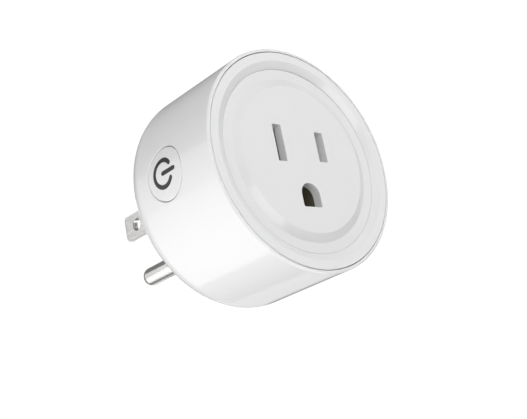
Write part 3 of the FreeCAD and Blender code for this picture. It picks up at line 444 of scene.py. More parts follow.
def spread(mat, value, low, high):
    """Map the usual range of a noise to low..high."""
    node = mat.node_tree.nodes.new("ShaderNodeMapRange")
    node.inputs["From Min"].default_value = NOISE_LOW
    node.inputs["From Max"].default_value = NOISE_HIGH
    node.inputs["To Min"].default_value = low
    node.inputs["To Max"].default_value = high
    mat.node_tree.links.new(value, node.inputs["Value"])
    return node.outputs["Result"]


def tint(mat, shader, value, first, second):
    """Colour the shader with two colours, blended by a value."""
    node = mat.node_tree.nodes.new("ShaderNodeMix")
    node.data_type = "RGBA"
    node.inputs[MIX_FIRST].default_value = (*first, 1.0)
    node.inputs[MIX_SECOND].default_value = (*second, 1.0)
    mat.node_tree.links.new(value, node.inputs[MIX_FACTOR])
    mat.node_tree.links.new(node.outputs[MIX_RESULT], shader.inputs["Base Color"])


def vary_roughness(mat, shader, value, roughness, limits):
    """Move the shader's roughness between two multiples of it, by a noise."""
    low, high = limits
    mat.node_tree.links.new(spread(mat, value, roughness * low, roughness * high),
                            shader.inputs["Roughness"])


def bump(mat, shader, value, distance, strength=1.0):
    node = mat.node_tree.nodes.new("ShaderNodeBump")
    node.inputs["Distance"].default_value = distance
    node.inputs["Strength"].default_value = strength
    mat.node_tree.links.new(value, node.inputs["Height"])
    mat.node_tree.links.new(node.outputs["Normal"], shader.inputs["Normal"])


def plastic(name, colour, roughness, grain=0.0006):
    """Moulded plastic: faint flow marks in the colour, and a very fine ripple in the gloss and
    the relief. grain is the ripple's height in millimetres."""
    mat, shader = new_material(name, colour, roughness)
    vector = object_coords(mat)
    flow = noise(mat, vector, FLOW_SCALE, FLOW_DETAIL)
    darker = tuple(c * FLOW_SHADE for c in colour)
    tint(mat, shader, spread(mat, flow, 0.0, 1.0), colour, darker)
    ripple = noise(mat, vector, RIPPLE_SCALE)
    vary_roughness(mat, shader, ripple, roughness, RIPPLE_GLOSS)
    bump(mat, shader, ripple, grain * MM)
    shader.inputs["IOR"].default_value = PLASTIC_IOR
    return mat


def metal(name, colour, roughness, stretch=(1.0, 1.0, 1.0), depth=0.002):
    """Plated or rolled metal: streaks in the colour, the gloss and the relief. stretch draws them
    out along an axis, and depth is their relief in millimetres."""
    mat, shader = new_material(name, colour, roughness, 1.0)
    streaks = noise(mat, object_coords(mat, stretch), STREAK_SCALE, STREAK_DETAIL, STREAK_ROUGHNESS)
    darker = tuple(c * STREAK_SHADE for c in colour)
    tint(mat, shader, spread(mat, streaks, 0.0, 1.0), colour, darker)
    vary_roughness(mat, shader, streaks, roughness, STREAK_GLOSS)
    bump(mat, shader, streaks, depth * MM)
    return mat


def board(name):
    """Circuit board: solder mask with a faint weave of glass cloth."""
    mat, shader = new_material(name, MASK_GREEN, MASK_ROUGHNESS)
    weave = mat.node_tree.nodes.new("ShaderNodeTexChecker")
    weave.inputs["Scale"].default_value = WEAVE_SCALE
    mat.node_tree.links.new(object_coords(mat), weave.inputs["Vector"])
    tint(mat, shader, weave.outputs["Fac"], MASK_GREEN, MASK_LIGHT_GREEN)
    bump(mat, shader, weave.outputs["Fac"], WEAVE_DEPTH, WEAVE_STRENGTH)
    return mat


def windings(name):
    """Enamelled copper wire, wound about an axis along Y. Its colour carries painted shade in the
    grooves between turns and a painted highlight on their crests.
    """
    mat, shader = new_material(name, WIRE_COPPER, WIRE_ROUGHNESS, 1.0)
    wave = mat.node_tree.nodes.new("ShaderNodeTexWave")
    wave.bands_direction = "Y"
    wave.inputs["Scale"].default_value = WIRE_SCALE
    mat.node_tree.links.new(object_coords(mat), wave.inputs["Vector"])
    bump(mat, shader, wave.outputs["Fac"], WIRE_DEPTH)
    # painted shade in the grooves and a painted highlight on the crests, following the same wave as
    # the relief
    tint(mat, shader, wave.outputs["Fac"], WIRE_SHADOW, WIRE_CREST_HIGHLIGHT)
    return mat


SHELL_WHITE = plastic("shell_white", (0.86, 0.86, 0.865), roughness=0.10, grain=0.0003)
BEZEL_WHITE = plastic("bezel_white", (0.81, 0.81, 0.815), roughness=0.10, grain=0.0003)
FACE_GREY = plastic("face_grey", (0.785, 0.785, 0.785), roughness=0.10, grain=0.0003)
BUTTON_WHITE = plastic("button_white", (0.84, 0.84, 0.845), roughness=0.12, grain=0.0004)
SYMBOL_GREY = plastic("symbol_grey", (0.034, 0.033, 0.033), roughness=0.45, grain=0.003)
COVER_WHITE = plastic("cover_white", (0.84, 0.84, 0.845), roughness=0.14, grain=0.0004)
INNER_BLACK = plastic("inner_black", (0.110, 0.102, 0.076), roughness=0.55, grain=0.004)
INNER_WHITE = plastic("inner_white", (0.72, 0.72, 0.70), roughness=0.5, grain=0.005)
RELAY_BLUE = plastic("relay_blue", (0.04, 0.13, 0.40), roughness=0.3)
CHIP_BLACK = plastic("chip_black", (0.03, 0.03, 0.032), roughness=0.6, grain=0.006)
FILM_YELLOW = plastic("film_yellow", (0.70, 0.50, 0.06), roughness=0.4)
VARISTOR_BLUE = plastic("varistor_blue", (0.04, 0.18, 0.45), roughness=0.4, grain=0.008)
RESISTOR_BEIGE = plastic("resistor_beige", (0.55, 0.43, 0.28), roughness=0.6, grain=0.01)
SLEEVE_DARK = plastic("sleeve_dark", (0.03, 0.03, 0.05), roughness=0.35)
FERRITE = plastic("ferrite", (0.06, 0.055, 0.055), roughness=0.7, grain=0.01)
LED_CLEAR = plastic("led_clear", (0.80, 0.85, 0.75), roughness=0.2)
BLADE_NICKEL = metal("blade_nickel", (0.74, 0.735, 0.72), roughness=0.30,
                     stretch=(1.0, 0.06, 1.0), depth=0.0002)
PIN_NICKEL = metal("pin_nickel", (0.76, 0.755, 0.74), roughness=0.24,
                   stretch=(1.0, 0.05, 1.0), depth=0.0001)
BRASS = metal("brass", (0.78, 0.58, 0.26), roughness=0.3, stretch=(1.0, 0.1, 1.0))
STEEL = metal("steel", (0.52, 0.52, 0.52), roughness=0.35)
TIN = metal("tin", (0.68, 0.68, 0.67), roughness=0.3)
COPPER = windings("copper_wire")
BOARD_GREEN = board("board_green")


# ---------------------------------------------------------------------------
# Shell: a turned sleeve whose side wall has a round hole for the button
# ---------------------------------------------------------------------------

def on_cylinder(y, z, radius, depth=0.0):
    """A point on the button side of a cylinder about Y, sunk by a depth."""
    return Vector((-math.sqrt(radius * radius - z * z) + depth, y, z))


def wall_rows(radius):
    """The (r, y) rows of the side wall beside the button, one grid cell apart."""
    cell = 2 * math.pi * BODY_R / SEGMENTS
    return [(radius, BUTTON_Y + cell * i) for i in range(-PATCH, PATCH + 1)]


def button_patch(bm, rows, radius, rings):
    """Fill the square gap in the wall with rings that lead to a round hole. Each ring is (blend,
    reach, depth, flat_x): 0 is the square gap and 1 a circle of radius reach, sunk by depth, and
    flat_x, where it isn't None, puts the whole ring at that x."""
    loop = [rows[0][j] for j in range(PATCH_LOW, PATCH_HIGH)]
    loop += [rows[i][PATCH_HIGH] for i in range(len(rows) - 1)]
    loop += [rows[-1][j] for j in range(PATCH_HIGH, PATCH_LOW, -1)]
    loop += [rows[i][PATCH_LOW] for i in range(len(rows) - 1, 0, -1)]
    count = len(loop)
    start = loop[0].co
    first = math.atan2(start.z - BUTTON_Z, start.y - BUTTON_Y)
    after = loop[1].co
    turn = math.atan2(after.z - BUTTON_Z, after.y - BUTTON_Y) - first
    sign = 1.0 if math.sin(turn) > 0 else -1.0
    directions = []
    for b in range(count):
        a = first + sign * 2 * math.pi * b / count
        directions.append((math.cos(a), math.sin(a)))
    previous = loop
    for blend, reach, depth, flat_x in rings:
        row = []
        for vert, (dy, dz) in zip(loop, directions):
            y = vert.co.y * (1 - blend) + (BUTTON_Y + reach * dy) * blend
            z = vert.co.z * (1 - blend) + (BUTTON_Z + reach * dz) * blend
            point = on_cylinder(y, z, radius, depth)
            if flat_x is not None:
                point.x = flat_x
            row.append(bm.verts.new(point))
        bridge(bm, previous, row)
        previous = row
    return previous


def shell_rows(bm):
    """The turned rows of the shell in order round its section, in six stretches."""
    shoulder_r = BODY_R - SHOULDER_ROUND
    shoulder_y = SHOULDER_Y - SHOULDER_ROUND
    outer_wall = wall_rows(BODY_R)
    inner_wall = wall_rows(INNER_R)[::-1]
    front = arc(SEAM_R + LIP_INNER_ROUND, FRONT_Y + LIP_INNER_ROUND, LIP_INNER_ROUND, 180, 270,
                HOLE_EDGE_STEPS)
    front += arc(BODY_R - LIP_ROUND, FRONT_Y + LIP_ROUND, LIP_ROUND, 270, 360, LIP_STEPS)
    halfway = (FRONT_Y + LIP_ROUND) * 0.5 + outer_wall[0][1] * 0.5
    front_side = [(BODY_R, halfway)]
    rear = arc(shoulder_r, shoulder_y, SHOULDER_ROUND, 0, 90, SHOULDER_STEPS)
    rear += [(REAR_OPENING_R + REAR_EDGE, SHOULDER_Y)]
    rear += [(REAR_OPENING_R, SHOULDER_Y - REAR_EDGE)]
    rear += [(REAR_OPENING_R, SHOULDER_Y - WALL)]
    rear += arc(shoulder_r, shoulder_y, SHOULDER_ROUND - WALL, 90, 0, INNER_SHOULDER_STEPS)
    back = [(INNER_R, REBATE_Y), (SEAM_R, REBATE_Y)]
    return [[[bm.verts.new(p) for p in ring_points(r, y)] for r, y in part]
            for part in (front, front_side, outer_wall, rear, inner_wall, back)]


def housing_shell():
    bm = bmesh.new()
    stretches = shell_rows(bm)
    _, _, outer_rows, _, inner_rows, _ = stretches
    rows = [row for stretch in stretches for row in stretch]
    for a, b in zip(rows, rows[1:] + rows[:1]):
        beside_button = any(a in wall and b in wall for wall in (outer_rows, inner_rows))
        if not beside_button:
            bridge(bm, a, b)
            continue
        for j in range(SEGMENTS):
            if PATCH_LOW <= j < PATCH_HIGH:
                continue
            k = (j + 1) % SEGMENTS
            bm.faces.new((a[j], a[k], b[k], b[j]))
    rings = [(blend, BUTTON_HOLE_R + BUTTON_EDGE, 0.0, None) for blend in PATCH_BLENDS]
    for across, down in quarter_round(1):
        rings.append((1.0, BUTTON_HOLE_R + BUTTON_EDGE * (1 - across), BUTTON_EDGE * down, None))
    outer_hole = button_patch(bm, outer_rows, BODY_R, rings)
    boss_r = BUTTON_HOLE_R + BOSS_WALL
    rings = [(0.5, boss_r, 0.0, None), (1.0, boss_r, 0.0, None), (1.0, boss_r, 0.0, BOSS_X),
             (1.0, BUTTON_HOLE_R, 0.0, BOSS_X)]
    inner_hole = button_patch(bm, inner_rows[::-1], INNER_R, rings)
    bridge(bm, outer_hole, inner_hole)
    return finish_mesh(bm, "shell", "housing", SHELL_WHITE, "housing_shell")


# ---------------------------------------------------------------------------
# Button and its symbol
# ---------------------------------------------------------------------------

def cap_row(bm, reach, depth=0.0, flat_x=None):
    """A ring about the button's axis, on the body's surface or flat at flat_x."""
    row = []
    for b in range(CAP_POINTS):
        a = 2 * math.pi * b / CAP_POINTS
        y = BUTTON_Y + reach * math.cos(a)
        z = BUTTON_Z + reach * math.sin(a)
        point = on_cylinder(y, z, BODY_R, depth)
        if flat_x is not None:
            point.x = flat_x
        row.append(bm.verts.new(point))
    return row


def pole(bm, row, x):
    """Close a ring with a fan of triangles about a point on the button's axis."""
    centre = bm.verts.new((x, BUTTON_Y, BUTTON_Z))
    for a, b in zip(row, row[1:] + row[:1]):
        bm.faces.new((a, b, centre))


def button():
    bm = bmesh.new()
    flange_back = FLANGE_X + FLANGE_T
    rows = [cap_row(bm, BUTTON_R * part) for part in CAP_RINGS]
    for across, down in quarter_round(0):
        rows.append(cap_row(bm, BUTTON_R - BUTTON_EDGE + BUTTON_EDGE * across, BUTTON_EDGE * down))
    for reach, flat_x in ((BUTTON_R, FLANGE_X), (FLANGE_R, FLANGE_X), (FLANGE_R, flange_back),
                          (POST_R, flange_back), (POST_R, CAP_HIGH.x)):
        rows.append(cap_row(bm, reach, flat_x=flat_x))
    bridge_all(bm, rows)
    pole(bm, rows[0], on_cylinder(BUTTON_Y, BUTTON_Z, BODY_R).x)
    pole(bm, rows[-1], CAP_HIGH.x)
    return finish_mesh(bm, "button", "button", BUTTON_WHITE, "button_cap")


def stroke_sections(line):
    """(point, direction, half width) along a stroke, with sections for its round ends."""
    sections = []
    for i, (y, z) in enumerate(line):
        before = Vector(line[max(i - 1, 0)])
        after = Vector(line[min(i + 1, len(line) - 1)])
        sections.append((Vector((y, z)), (after - before).normalized(), STROKE_HALF_W))
    for at_end in (False, True):
        point, along, _ = sections[-1] if at_end else sections[0]
        out = along if at_end else -along
        for s in range(1, STROKE_END_STEPS + 1):
            a = math.pi / 2 * s / STROKE_END_STEPS
            width = max(STROKE_HALF_W * math.cos(a), STROKE_END_SHARE * STROKE_HALF_W)
            extra = (point + out * STROKE_HALF_W * math.sin(a), along, width)
            sections.insert(len(sections) if at_end else 0, extra)
    return sections


def ribbon(bm, line):
    """A flat stroke with round ends on the button's face. line is (y, z) points."""
    rows = []
    for point, along, width in stroke_sections(line):
        side = Vector((-along.y, along.x))
        flat_w = max(width - STROKE_SOFT, 0)
        half = [(width, STROKE_DEPTH), (width, STROKE_SOFT * 0.5), (flat_w, -STROKE_LIFT)]
        steps = [(-across, sunk) for across, sunk in half] + [(0.0, -STROKE_LIFT)] + half[::-1]
        row = []
        for across, sunk in steps:
            at = point + side * across
            row.append(bm.verts.new(on_cylinder(at.x, at.y, BODY_R, sunk)))
        rows.append(row)
    bridge_all(bm, rows)
    bm.faces.new(rows[0])
    bm.faces.new(rows[-1][::-1])


def button_symbol():
    """A generic power sign: an open ring, and a bar that points at the socket face."""
    bm = bmesh.new()
    outer = (SYMBOL_HIGH.z - SYMBOL_LOW.z) / 2
    ring_z = (SYMBOL_HIGH.z + SYMBOL_LOW.z) / 2
    ring_y = SYMBOL_HIGH.y - outer
    middle = outer - STROKE_HALF_W
    sweep = 360 - 2 * SYMBOL_HALF_GAP
    line = []
    for i in range(SYMBOL_RING_STEPS + 1):
        a = math.radians(180 + SYMBOL_HALF_GAP + sweep * i / SYMBOL_RING_STEPS)
        line.append((ring_y + middle * math.cos(a), ring_z + middle * math.sin(a)))
    ribbon(bm, line)
    bar_front = SYMBOL_LOW.y + STROKE_HALF_W
    bar = [(bar_front + (ring_y - bar_front) * i / SYMBOL_BAR_STEPS, ring_z)
           for i in range(SYMBOL_BAR_STEPS + 1)]
    ribbon(bm, bar)
    return finish_mesh(bm, "power_sign", "button", SYMBOL_GREY, "button_symbol")


# ---------------------------------------------------------------------------
# Front bezel and socket face
# ---------------------------------------------------------------------------

def front_bezel():
    bm = bmesh.new()
    ledge_y = PLATE_BACK + BEZEL_LEDGE_T
    ledge_front = PLATE_BACK + BEZEL_LEDGE_GAP
    skirt_inner_r = BEZEL_SKIRT_R - BEZEL_SKIRT_WALL
    slope = Vector((BEZEL_FLAT_R - CHANNEL_R, FRONT_Y - CHANNEL_Y + STEP)).normalized()
    inner_y = CHANNEL_Y - STEP
    profile = [(CHANNEL_R, CHANNEL_Y + CHANNEL_WALL)]
    profile += [(CHANNEL_R, inner_y + STEP_CHAMFER_FOOT)]
    profile += [(CHANNEL_R + STEP_CHAMFER_W, inner_y - STEP_CHAMFER_TOP)]
    profile += [(BEZEL_FLAT_R - slope.x * BEZEL_SOFT, FRONT_Y - slope.y * BEZEL_SOFT)]
    profile += [(BEZEL_FLAT_R, FRONT_Y + BEZEL_SOFT_DROP)]
    profile += [(BEZEL_FLAT_R + BEZEL_SOFT, FRONT_Y)]
    profile += arc(BEZEL_R - BEZEL_EDGE, FRONT_Y + BEZEL_EDGE, BEZEL_EDGE, 270, 360, EDGE_STEPS)
    profile += [(BEZEL_R, REBATE_Y), (BEZEL_SKIRT_R, REBATE_Y), (BEZEL_SKIRT_R, BEZEL_HIGH.y)]
    profile += [(skirt_inner_r, BEZEL_HIGH.y), (skirt_inner_r, ledge_y)]
    profile += [(BEZEL_LEDGE_R, ledge_y), (BEZEL_LEDGE_R, ledge_front)]
    profile += [(CHANNEL_R, ledge_front)]
    lathe(bm, profile, loop=True)
    return finish_mesh(bm, "bezel", "housing", BEZEL_WHITE, "front_bezel")


def plate_profile():
    """The turned outline of the socket face, from its disc to its back."""
    slope = Vector((CHANNEL_INNER_R - DISC_R, CHANNEL_Y - FRONT_Y)).normalized()
    run = slope.x * PLATE_SOFT
    drop = slope.y * PLATE_SOFT
    profile = [(DISC_R - PLATE_SOFT, FRONT_Y)]
    profile += [(DISC_R, FRONT_Y + PLATE_SOFT_DROP)]
    profile += [(DISC_R + run, FRONT_Y + drop)]
    profile += [(CHANNEL_INNER_R - run, CHANNEL_Y - drop)]
    profile += [(CHANNEL_INNER_R, CHANNEL_Y - PLATE_SOFT_DROP)]
    profile += [(CHANNEL_INNER_R + PLATE_SOFT, CHANNEL_Y)]
    profile += [(PLATE_R - PLATE_RIM, CHANNEL_Y), (PLATE_R, CHANNEL_Y + PLATE_RIM)]
    profile += [(PLATE_R, LAND_Y), (LAND_R, LAND_Y), (LAND_R, PLATE_BACK)]
    return profile


def socket_face():
    bm = bmesh.new()
    rows = lathe(bm, plate_profile())
    neutral_slot = slot_outline(-BLADE_X, NEUTRAL_HALF_H)
    line_slot = slot_outline(BLADE_X, LINE_HALF_H)
    edge = edge_steps(FRONT_Y, HOLE_EDGE, 1)
    plain = edge + [(0.0, PLATE_BACK)]
    collar_end = PLATE_BACK + COLLAR_DEPTH
    collared = edge + [(0.0, collar_end), (COLLAR_T, collar_end), (COLLAR_T, PLATE_BACK)]
    fronts = []
    backs = []
    for outline, steps in ((neutral_slot, plain), (line_slot, collared), (ground_outline, plain)):
        hole = hole_rows(bm, outline, steps)
        fronts.append(hole[0])
        backs.append(hole[-1])
    fill_plane(bm, [rows[0]] + fronts)
    fill_plane(bm, [rows[-1]] + backs)
    return finish_mesh(bm, "face_plate", "housing", FACE_GREY, "socket_face")


# ---------------------------------------------------------------------------
# Rear cover, blades and ground pin
# ---------------------------------------------------------------------------

def rear_cover():
    bm = bmesh.new()
    flange_r = COVER_HIGH.x
    flange_y = COVER_LOW.y
    land_y = SHOULDER_Y - WALL - COVER_GAP
    bore_r = NECK_R - COVER_WALL
    profile = [(WALL_FACE_R - COVER_WALL, COVER_FLOOR_Y), (bore_r, SHOULDER_Y), (bore_r, flange_y)]
    profile += [(flange_r, flange_y), (flange_r, land_y), (NECK_R, land_y)]
    profile += [(NECK_R, SHOULDER_Y - COVER_SEAM), (NECK_R - COVER_GAP, SHOULDER_Y + COVER_SEAM)]
    profile += [(WALL_FACE_R + COVER_SEAM, -COVER_EDGE - COVER_EDGE_RUN)]
    profile += arc(WALL_FACE_R - COVER_EDGE, -COVER_EDGE, COVER_EDGE, 10, 90, LIP_STEPS)
    rows = lathe(bm, profile)
    steps = edge_steps(0.0, HOLE_EDGE, -1) + [(0.0, COVER_FLOOR_Y)]
    fronts = []
    backs = []
    for outline in (slit_outline(-BLADE_X), slit_outline(BLADE_X), pin_hole_outline):
        hole = hole_rows(bm, outline, steps)
        fronts.append(hole[0])
        backs.append(hole[-1])
    fill_plane(bm, [rows[-1]] + fronts)
    fill_plane(bm, [rows[0]] + backs)
    return finish_mesh(bm, "neck", "housing", COVER_WHITE, "rear_cover")


def blade_outline(foot_y, tip_y):
    """The blade's flat shape as (y, z - BLADE_Z) points, up to where its tip's chamfer starts.
    The second value is the half width there."""
    clip_y = tip_y - BLADE_CLIP
    thin_y = tip_y - BLADE_THIN_L
    half_w = BLADE_HALF_W
    wide = BLADE_WIDE_HALF_W
    at_thin = half_w - (thin_y - clip_y)
    outline = [(foot_y, -half_w), (foot_y, BLADE_TAIL_TOP), (BLADE_WIDE_Y, BLADE_TAIL_TOP),
               (BLADE_WIDE_Y, wide), (BLADE_SHOULDER_Y, wide), (BLADE_SHOULDER_Y, half_w),
               (clip_y, half_w), (thin_y, at_thin), (thin_y, -at_thin), (clip_y, -half_w),
               (BLADE_SHOULDER_Y, -half_w), (BLADE_SHOULDER_Y, -wide), (BLADE_WIDE_Y, -wide),
               (BLADE_WIDE_Y, -half_w)]
    return outline, outline.index((thin_y, at_thin))


def blade_side(bm, x, outline):
    """One flat side of a blade with its round hole, as its outer and its hole vertices."""
    edge = [bm.verts.new((x, y, BLADE_Z + z)) for y, z in outline]
    hole = []
    for j in range(BLADE_HOLE_SEGMENTS):
        a = 2 * math.pi * j / BLADE_HOLE_SEGMENTS
        hole.append(bm.verts.new((x, BLADE_HOLE_Y + BLADE_HOLE_R * math.cos(a),
                                  BLADE_Z + BLADE_HOLE_R * math.sin(a))))
    fill_plane(bm, [edge, hole])
    return edge, hole


def blade(name, node, x):
    """A flat blade with clipped corners, a chamfered tip and a round hole."""
    bm = bmesh.new()
    low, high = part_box(node)
    half_t = (high.x - low.x) / 2
    thin_t = half_t - BLADE_THIN_T
    end_w = BLADE_HALF_W - BLADE_CLIP
    outline, top = blade_outline(low.y, high.y)
    bottom = top + 1
    left_edge, left_hole = blade_side(bm, x - half_t, outline)
    right_edge, right_hole = blade_side(bm, x + half_t, outline)
    bridge(bm, left_hole, right_hole)
    for j in range(len(outline)):
        if j == top:
            continue
        k = (j + 1) % len(outline)
        bm.faces.new((left_edge[j], left_edge[k], right_edge[k], right_edge[j]))
    tips = {}
    for side in (-1, 1):
        for up in (-1, 1):
            tips[side, up] = bm.verts.new((x + side * thin_t, high.y, BLADE_Z + up * end_w))
    bm.faces.new((tips[-1, -1], tips[-1, 1], tips[1, 1], tips[1, -1]))
    bm.faces.new((left_edge[top], left_edge[bottom], tips[-1, -1], tips[-1, 1]))
    bm.faces.new((right_edge[top], right_edge[bottom], tips[1, -1], tips[1, 1]))
    bm.faces.new((left_edge[top], right_edge[top], tips[1, 1], tips[-1, 1]))
    bm.faces.new((left_edge[bottom], right_edge[bottom], tips[1, -1], tips[-1, -1]))
    piece = finish_mesh(bm, name, "housing", BLADE_NICKEL, node)
    soften = piece.modifiers.new("soften", "BEVEL")
    soften.width = BLADE_SOFT_EDGE
    soften.segments = BLADE_SOFT_STEPS
    soften.limit_method = "ANGLE"
    soften.angle_limit = BLADE_SOFT_ANGLE
    piece.modifiers.move(1, 0)         # the edges are rounded before the normals are weighted
    return piece


def ground_pin():
    bm = bmesh.new()
    straight = PIN_HIGH.y - PIN_R
    collar_r = PIN_HIGH.x
    profile = [(0.0, PIN_LOW.y), (PIN_HEAD_R, PIN_LOW.y), (PIN_HEAD_R, PIN_NECK_Y)]
    profile += [(PIN_NECK_R, PIN_NECK_Y), (PIN_NECK_R, PIN_STRAP_Y), (PIN_SHANK_R, PIN_STRAP_Y)]
    profile += [(PIN_SHANK_R, PIN_COLLAR_Y), (collar_r, PIN_COLLAR_Y), (collar_r, PIN_ROOT_Y)]
    profile += [(PIN_ROOT_R, PIN_ROOT_Y), (PIN_ROOT_R, -PIN_ROOT_EDGE)]
    profile += [(PIN_ROOT_R - PIN_ROOT_EDGE, 0.0), (PIN_R, 0.0), (PIN_R, PIN_FOOT)]
    profile += [(PIN_R, straight * 0.5)]
    profile += arc(0.0, straight, PIN_R, 0, DOME_END, DOME_STEPS)
    profile += [(0.0, PIN_HIGH.y)]
    lathe(bm, profile, PIN_SEGMENTS, (0.0, PIN_Z))
    return finish_mesh(bm, "round_pin", "housing", PIN_NICKEL, "ground_pin")


# ---------------------------------------------------------------------------
# CAD nodes that keep their shape
# ---------------------------------------------------------------------------

KEPT = {
    "blade_retainer": INNER_WHITE, "retainer_screws": STEEL, "ground_strap": BRASS,
    "contact_carrier": INNER_BLACK, "neutral_contact": BRASS, "line_contact": BRASS,
    "ground_contact": BRASS, "main_board": BOARD_GREEN, "board_screws": STEEL,
    "relay_case": RELAY_BLUE, "relay_base": RELAY_BLUE, "relay_pins": TIN,
    "relay_bobbin": INNER_WHITE, "relay_coil": COPPER, "relay_core": STEEL,
    "relay_yoke": STEEL, "relay_armature": STEEL, "relay_contact_spring": BRASS,
    "relay_fixed_contact": BRASS, "safety_capacitor": FILM_YELLOW, "inductor_core": FERRITE,
    "inductor_winding": COPPER, "varistor": VARISTOR_BLUE, "fusible_resistor": RESISTOR_BEIGE,
    "bridge_rectifier": CHIP_BLACK, "power_chip": CHIP_BLACK, "metering_chip": CHIP_BLACK,
    "shunt_resistor": TIN, "wifi_board": BOARD_GREEN, "wifi_shield": TIN,
    "wifi_antenna": COPPER, "button_board": BOARD_GREEN, "switch_body": CHIP_BLACK,
    "switch_cover": TIN, "switch_plunger": CHIP_BLACK, "switch_dome": STEEL,
    "status_led": LED_CLEAR, "bulk_capacitor_a": SLEEVE_DARK, "bulk_capacitor_b": SLEEVE_DARK,
}


def dress_kept_nodes():
    for name, mat in KEPT.items():
        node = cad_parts[name]
        node.data.materials.clear()
        node.data.materials.append(mat)


# ---------------------------------------------------------------------------
# Camera, floor and light
# ---------------------------------------------------------------------------

def camera():
    """Seen from the front left and below, rolled a little."""
    forward = Vector((math.sin(CAMERA_AZIMUTH) * math.cos(CAMERA_PITCH),
                      math.cos(CAMERA_AZIMUTH) * math.cos(CAMERA_PITCH),
                      math.sin(CAMERA_PITCH)))
    data = bpy.data.cameras.new("camera")
    data.sensor_width = CAMERA_SENSOR_MM
    data.lens = CAMERA_LENS_MM
    data.clip_start = CAMERA_NEAR
    data.clip_end = CAMERA_FAR
    cam = bpy.data.objects.new("camera", data)
    turn = forward.to_track_quat("-Z", "Y").to_matrix().to_4x4()
    roll = Matrix.Rotation(-CAMERA_ROLL, 4, "Z")
    cam.matrix_world = Matrix.Translation(CAMERA_PLACE) @ turn @ roll
    bpy.context.scene.collection.objects.link(cam)
    bpy.context.scene.camera = cam


def soft_panel(name, role, at, size, level, target=MIDDLE):
    """A rectangular softbox with its width level. A "fill" lights dull surfaces and leaves no
    reflection; a "card" is only seen in reflections. level is its radiance."""
    width, height = size
    data = bpy.data.lights.new(name, "AREA")
    data.shape = "RECTANGLE"
    data.size = width
    data.size_y = height
    data.energy = level * math.pi * width * height
    lamp = bpy.data.objects.new(name, data)
    lamp.location = Vector(at)
    toward = Vector(target) - Vector(at)
    lamp.rotation_euler = toward.to_track_quat("-Z", "Y").to_euler()
    lamp.visible_camera = False
    lamp.visible_glossy = role == "card"
    lamp.visible_diffuse = role == "fill"
    bpy.context.scene.collection.objects.link(lamp)


def surround(level, seen):
    """An even surround: a low level that lights the plug, and a near-white one that is seen.
    The low level is a gradient over height with equal ends, because a bare constant renders
    very slightly brighter."""
    world = bpy.data.worlds.new("studio")
    world.use_nodes = True
    tree = world.node_tree
    background = tree.nodes["Background"]
    background.inputs["Color"].default_value = (1.0, 1.0, 1.0, 1.0)
    coords = tree.nodes.new("ShaderNodeTexCoord")
    split = tree.nodes.new("ShaderNodeSeparateXYZ")
    height = tree.nodes.new("ShaderNodeMapRange")
    height.inputs["To Min"].default_value = level
    height.inputs["To Max"].default_value = level
    path = tree.nodes.new("ShaderNodeLightPath")
    mix = tree.nodes.new("ShaderNodeMix")
    tree.links.new(coords.outputs["Generated"], split.inputs["Vector"])
    tree.links.new(split.outputs["Z"], height.inputs["Value"])
    tree.links.new(height.outputs["Result"], mix.inputs["A"])
    mix.inputs["B"].default_value = seen
    tree.links.new(path.outputs["Is Camera Ray"], mix.inputs["Factor"])
    tree.links.new(mix.outputs["Result"], background.inputs["Strength"])
    bpy.context.scene.world = world


def floor():
    """A pale floor with a lamp of its own. It sends no light or reflection up to the plug."""
    bm = bmesh.new()
    bmesh.ops.create_grid(bm, x_segments=FLOOR_CELLS, y_segments=FLOOR_CELLS, size=FLOOR_HALF)
    for v in bm.verts:
        v.co.z = FLOOR_Z
    mesh = bpy.data.meshes.new("floor")
    bm.to_mesh(mesh)
    bm.free()
    piece = bpy.data.objects.new("floor", mesh)
    bpy.context.scene.collection.objects.link(piece)
    mat, _ = new_material("floor_white", FLOOR_COLOUR, FLOOR_ROUGHNESS)
    mesh.materials.append(mat)
    piece.visible_diffuse = False
    piece.visible_glossy = False
    soft_panel("floor_fill", "fill", at=(0.0, 0.0, FLOOR_Z + FLOOR_LAMP_HEIGHT),
               size=(FLOOR_LAMP_SIDE, FLOOR_LAMP_SIDE), level=FLOOR_LAMP_LEVEL,
               target=(0.0, 0.0, FLOOR_Z))


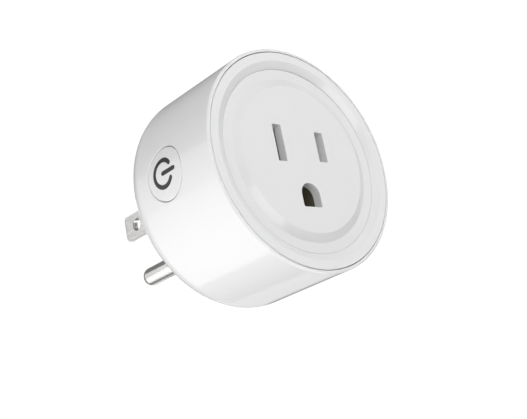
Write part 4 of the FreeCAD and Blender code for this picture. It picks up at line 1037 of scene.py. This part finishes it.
def studio():
    surround(SURROUND_LEVEL, SURROUND_SEEN)
    bpy.context.scene.view_settings.view_transform = "Standard"
    soft_panel("front_left_fill", "fill", at=(-0.55, -0.65, 0.05), size=(0.5, 0.5), level=3.7)
    soft_panel("front_top_fill", "fill", at=(0.1, -0.65, 0.60), size=(0.6, 0.5), level=2.8)
    soft_panel("front_right_fill", "fill", at=(0.6, -0.70, 0.1), size=(0.5, 0.6), level=2.1)
    soft_panel("left_fill", "fill", at=(-0.7, 0.3, 0.0), size=(0.5, 0.4), level=2.9)
    soft_panel("low_fill", "fill", at=(-0.2, 0.0, -0.75), size=(0.5, 0.4), level=6.1)
    soft_panel("big_card", "card", at=(-0.30, 0.35, -0.30), size=(0.7, 0.86), level=1.35,
               target=(0.0, 0.35, 0.0))
    soft_panel("big_card_core", "card", at=(-0.17, 0.345, -0.43), size=(0.7, 0.49), level=0.7,
               target=(0.13, 0.345, -0.13))
    soft_panel("front_card", "card", at=(0.10, -0.80, -0.16), size=(0.34, 0.34), level=3.1,
               target=(0.10, 0.0, -0.16))
    soft_panel("face_card", "card", at=(0.60, -0.70, 0.26), size=(0.5, 0.4), level=1.0)
    soft_panel("top_card", "card", at=(0.15, -0.50, 0.75), size=(0.7, 0.4), level=0.4)
    soft_panel("high_card", "card", at=(-0.12, -0.85, 0.40), size=(0.5, 0.5), level=0.7)
    soft_panel("rear_left_card", "card", at=(-0.6, 0.66, 0.22), size=(0.5, 0.4), level=0.8)
    soft_panel("low_front_card", "card", at=(0.30, -0.42, -0.80), size=(1.2, 0.4), level=4.0,
               target=CENTRE)
    soft_panel("rear_right_fill", "fill", at=(0.55, 0.65, 0.30), size=(0.6, 0.6), level=4.0,
               target=CENTRE)
    soft_panel("rim_card", "card", at=(0.53, 0.74, 0.22), size=(0.9, 0.16), level=0.8,
               target=CENTRE)
    soft_panel("low_right_card", "card", at=(0.55, 0.55, -0.25), size=(0.5, 0.4), level=0.62)
    floor()


camera()
studio()
housing_shell()
button()
button_symbol()
front_bezel()
socket_face()
rear_cover()
blade("blade_left", "neutral_blade", -BLADE_X)
blade("blade_right", "line_blade", BLADE_X)
ground_pin()
dress_kept_nodes()
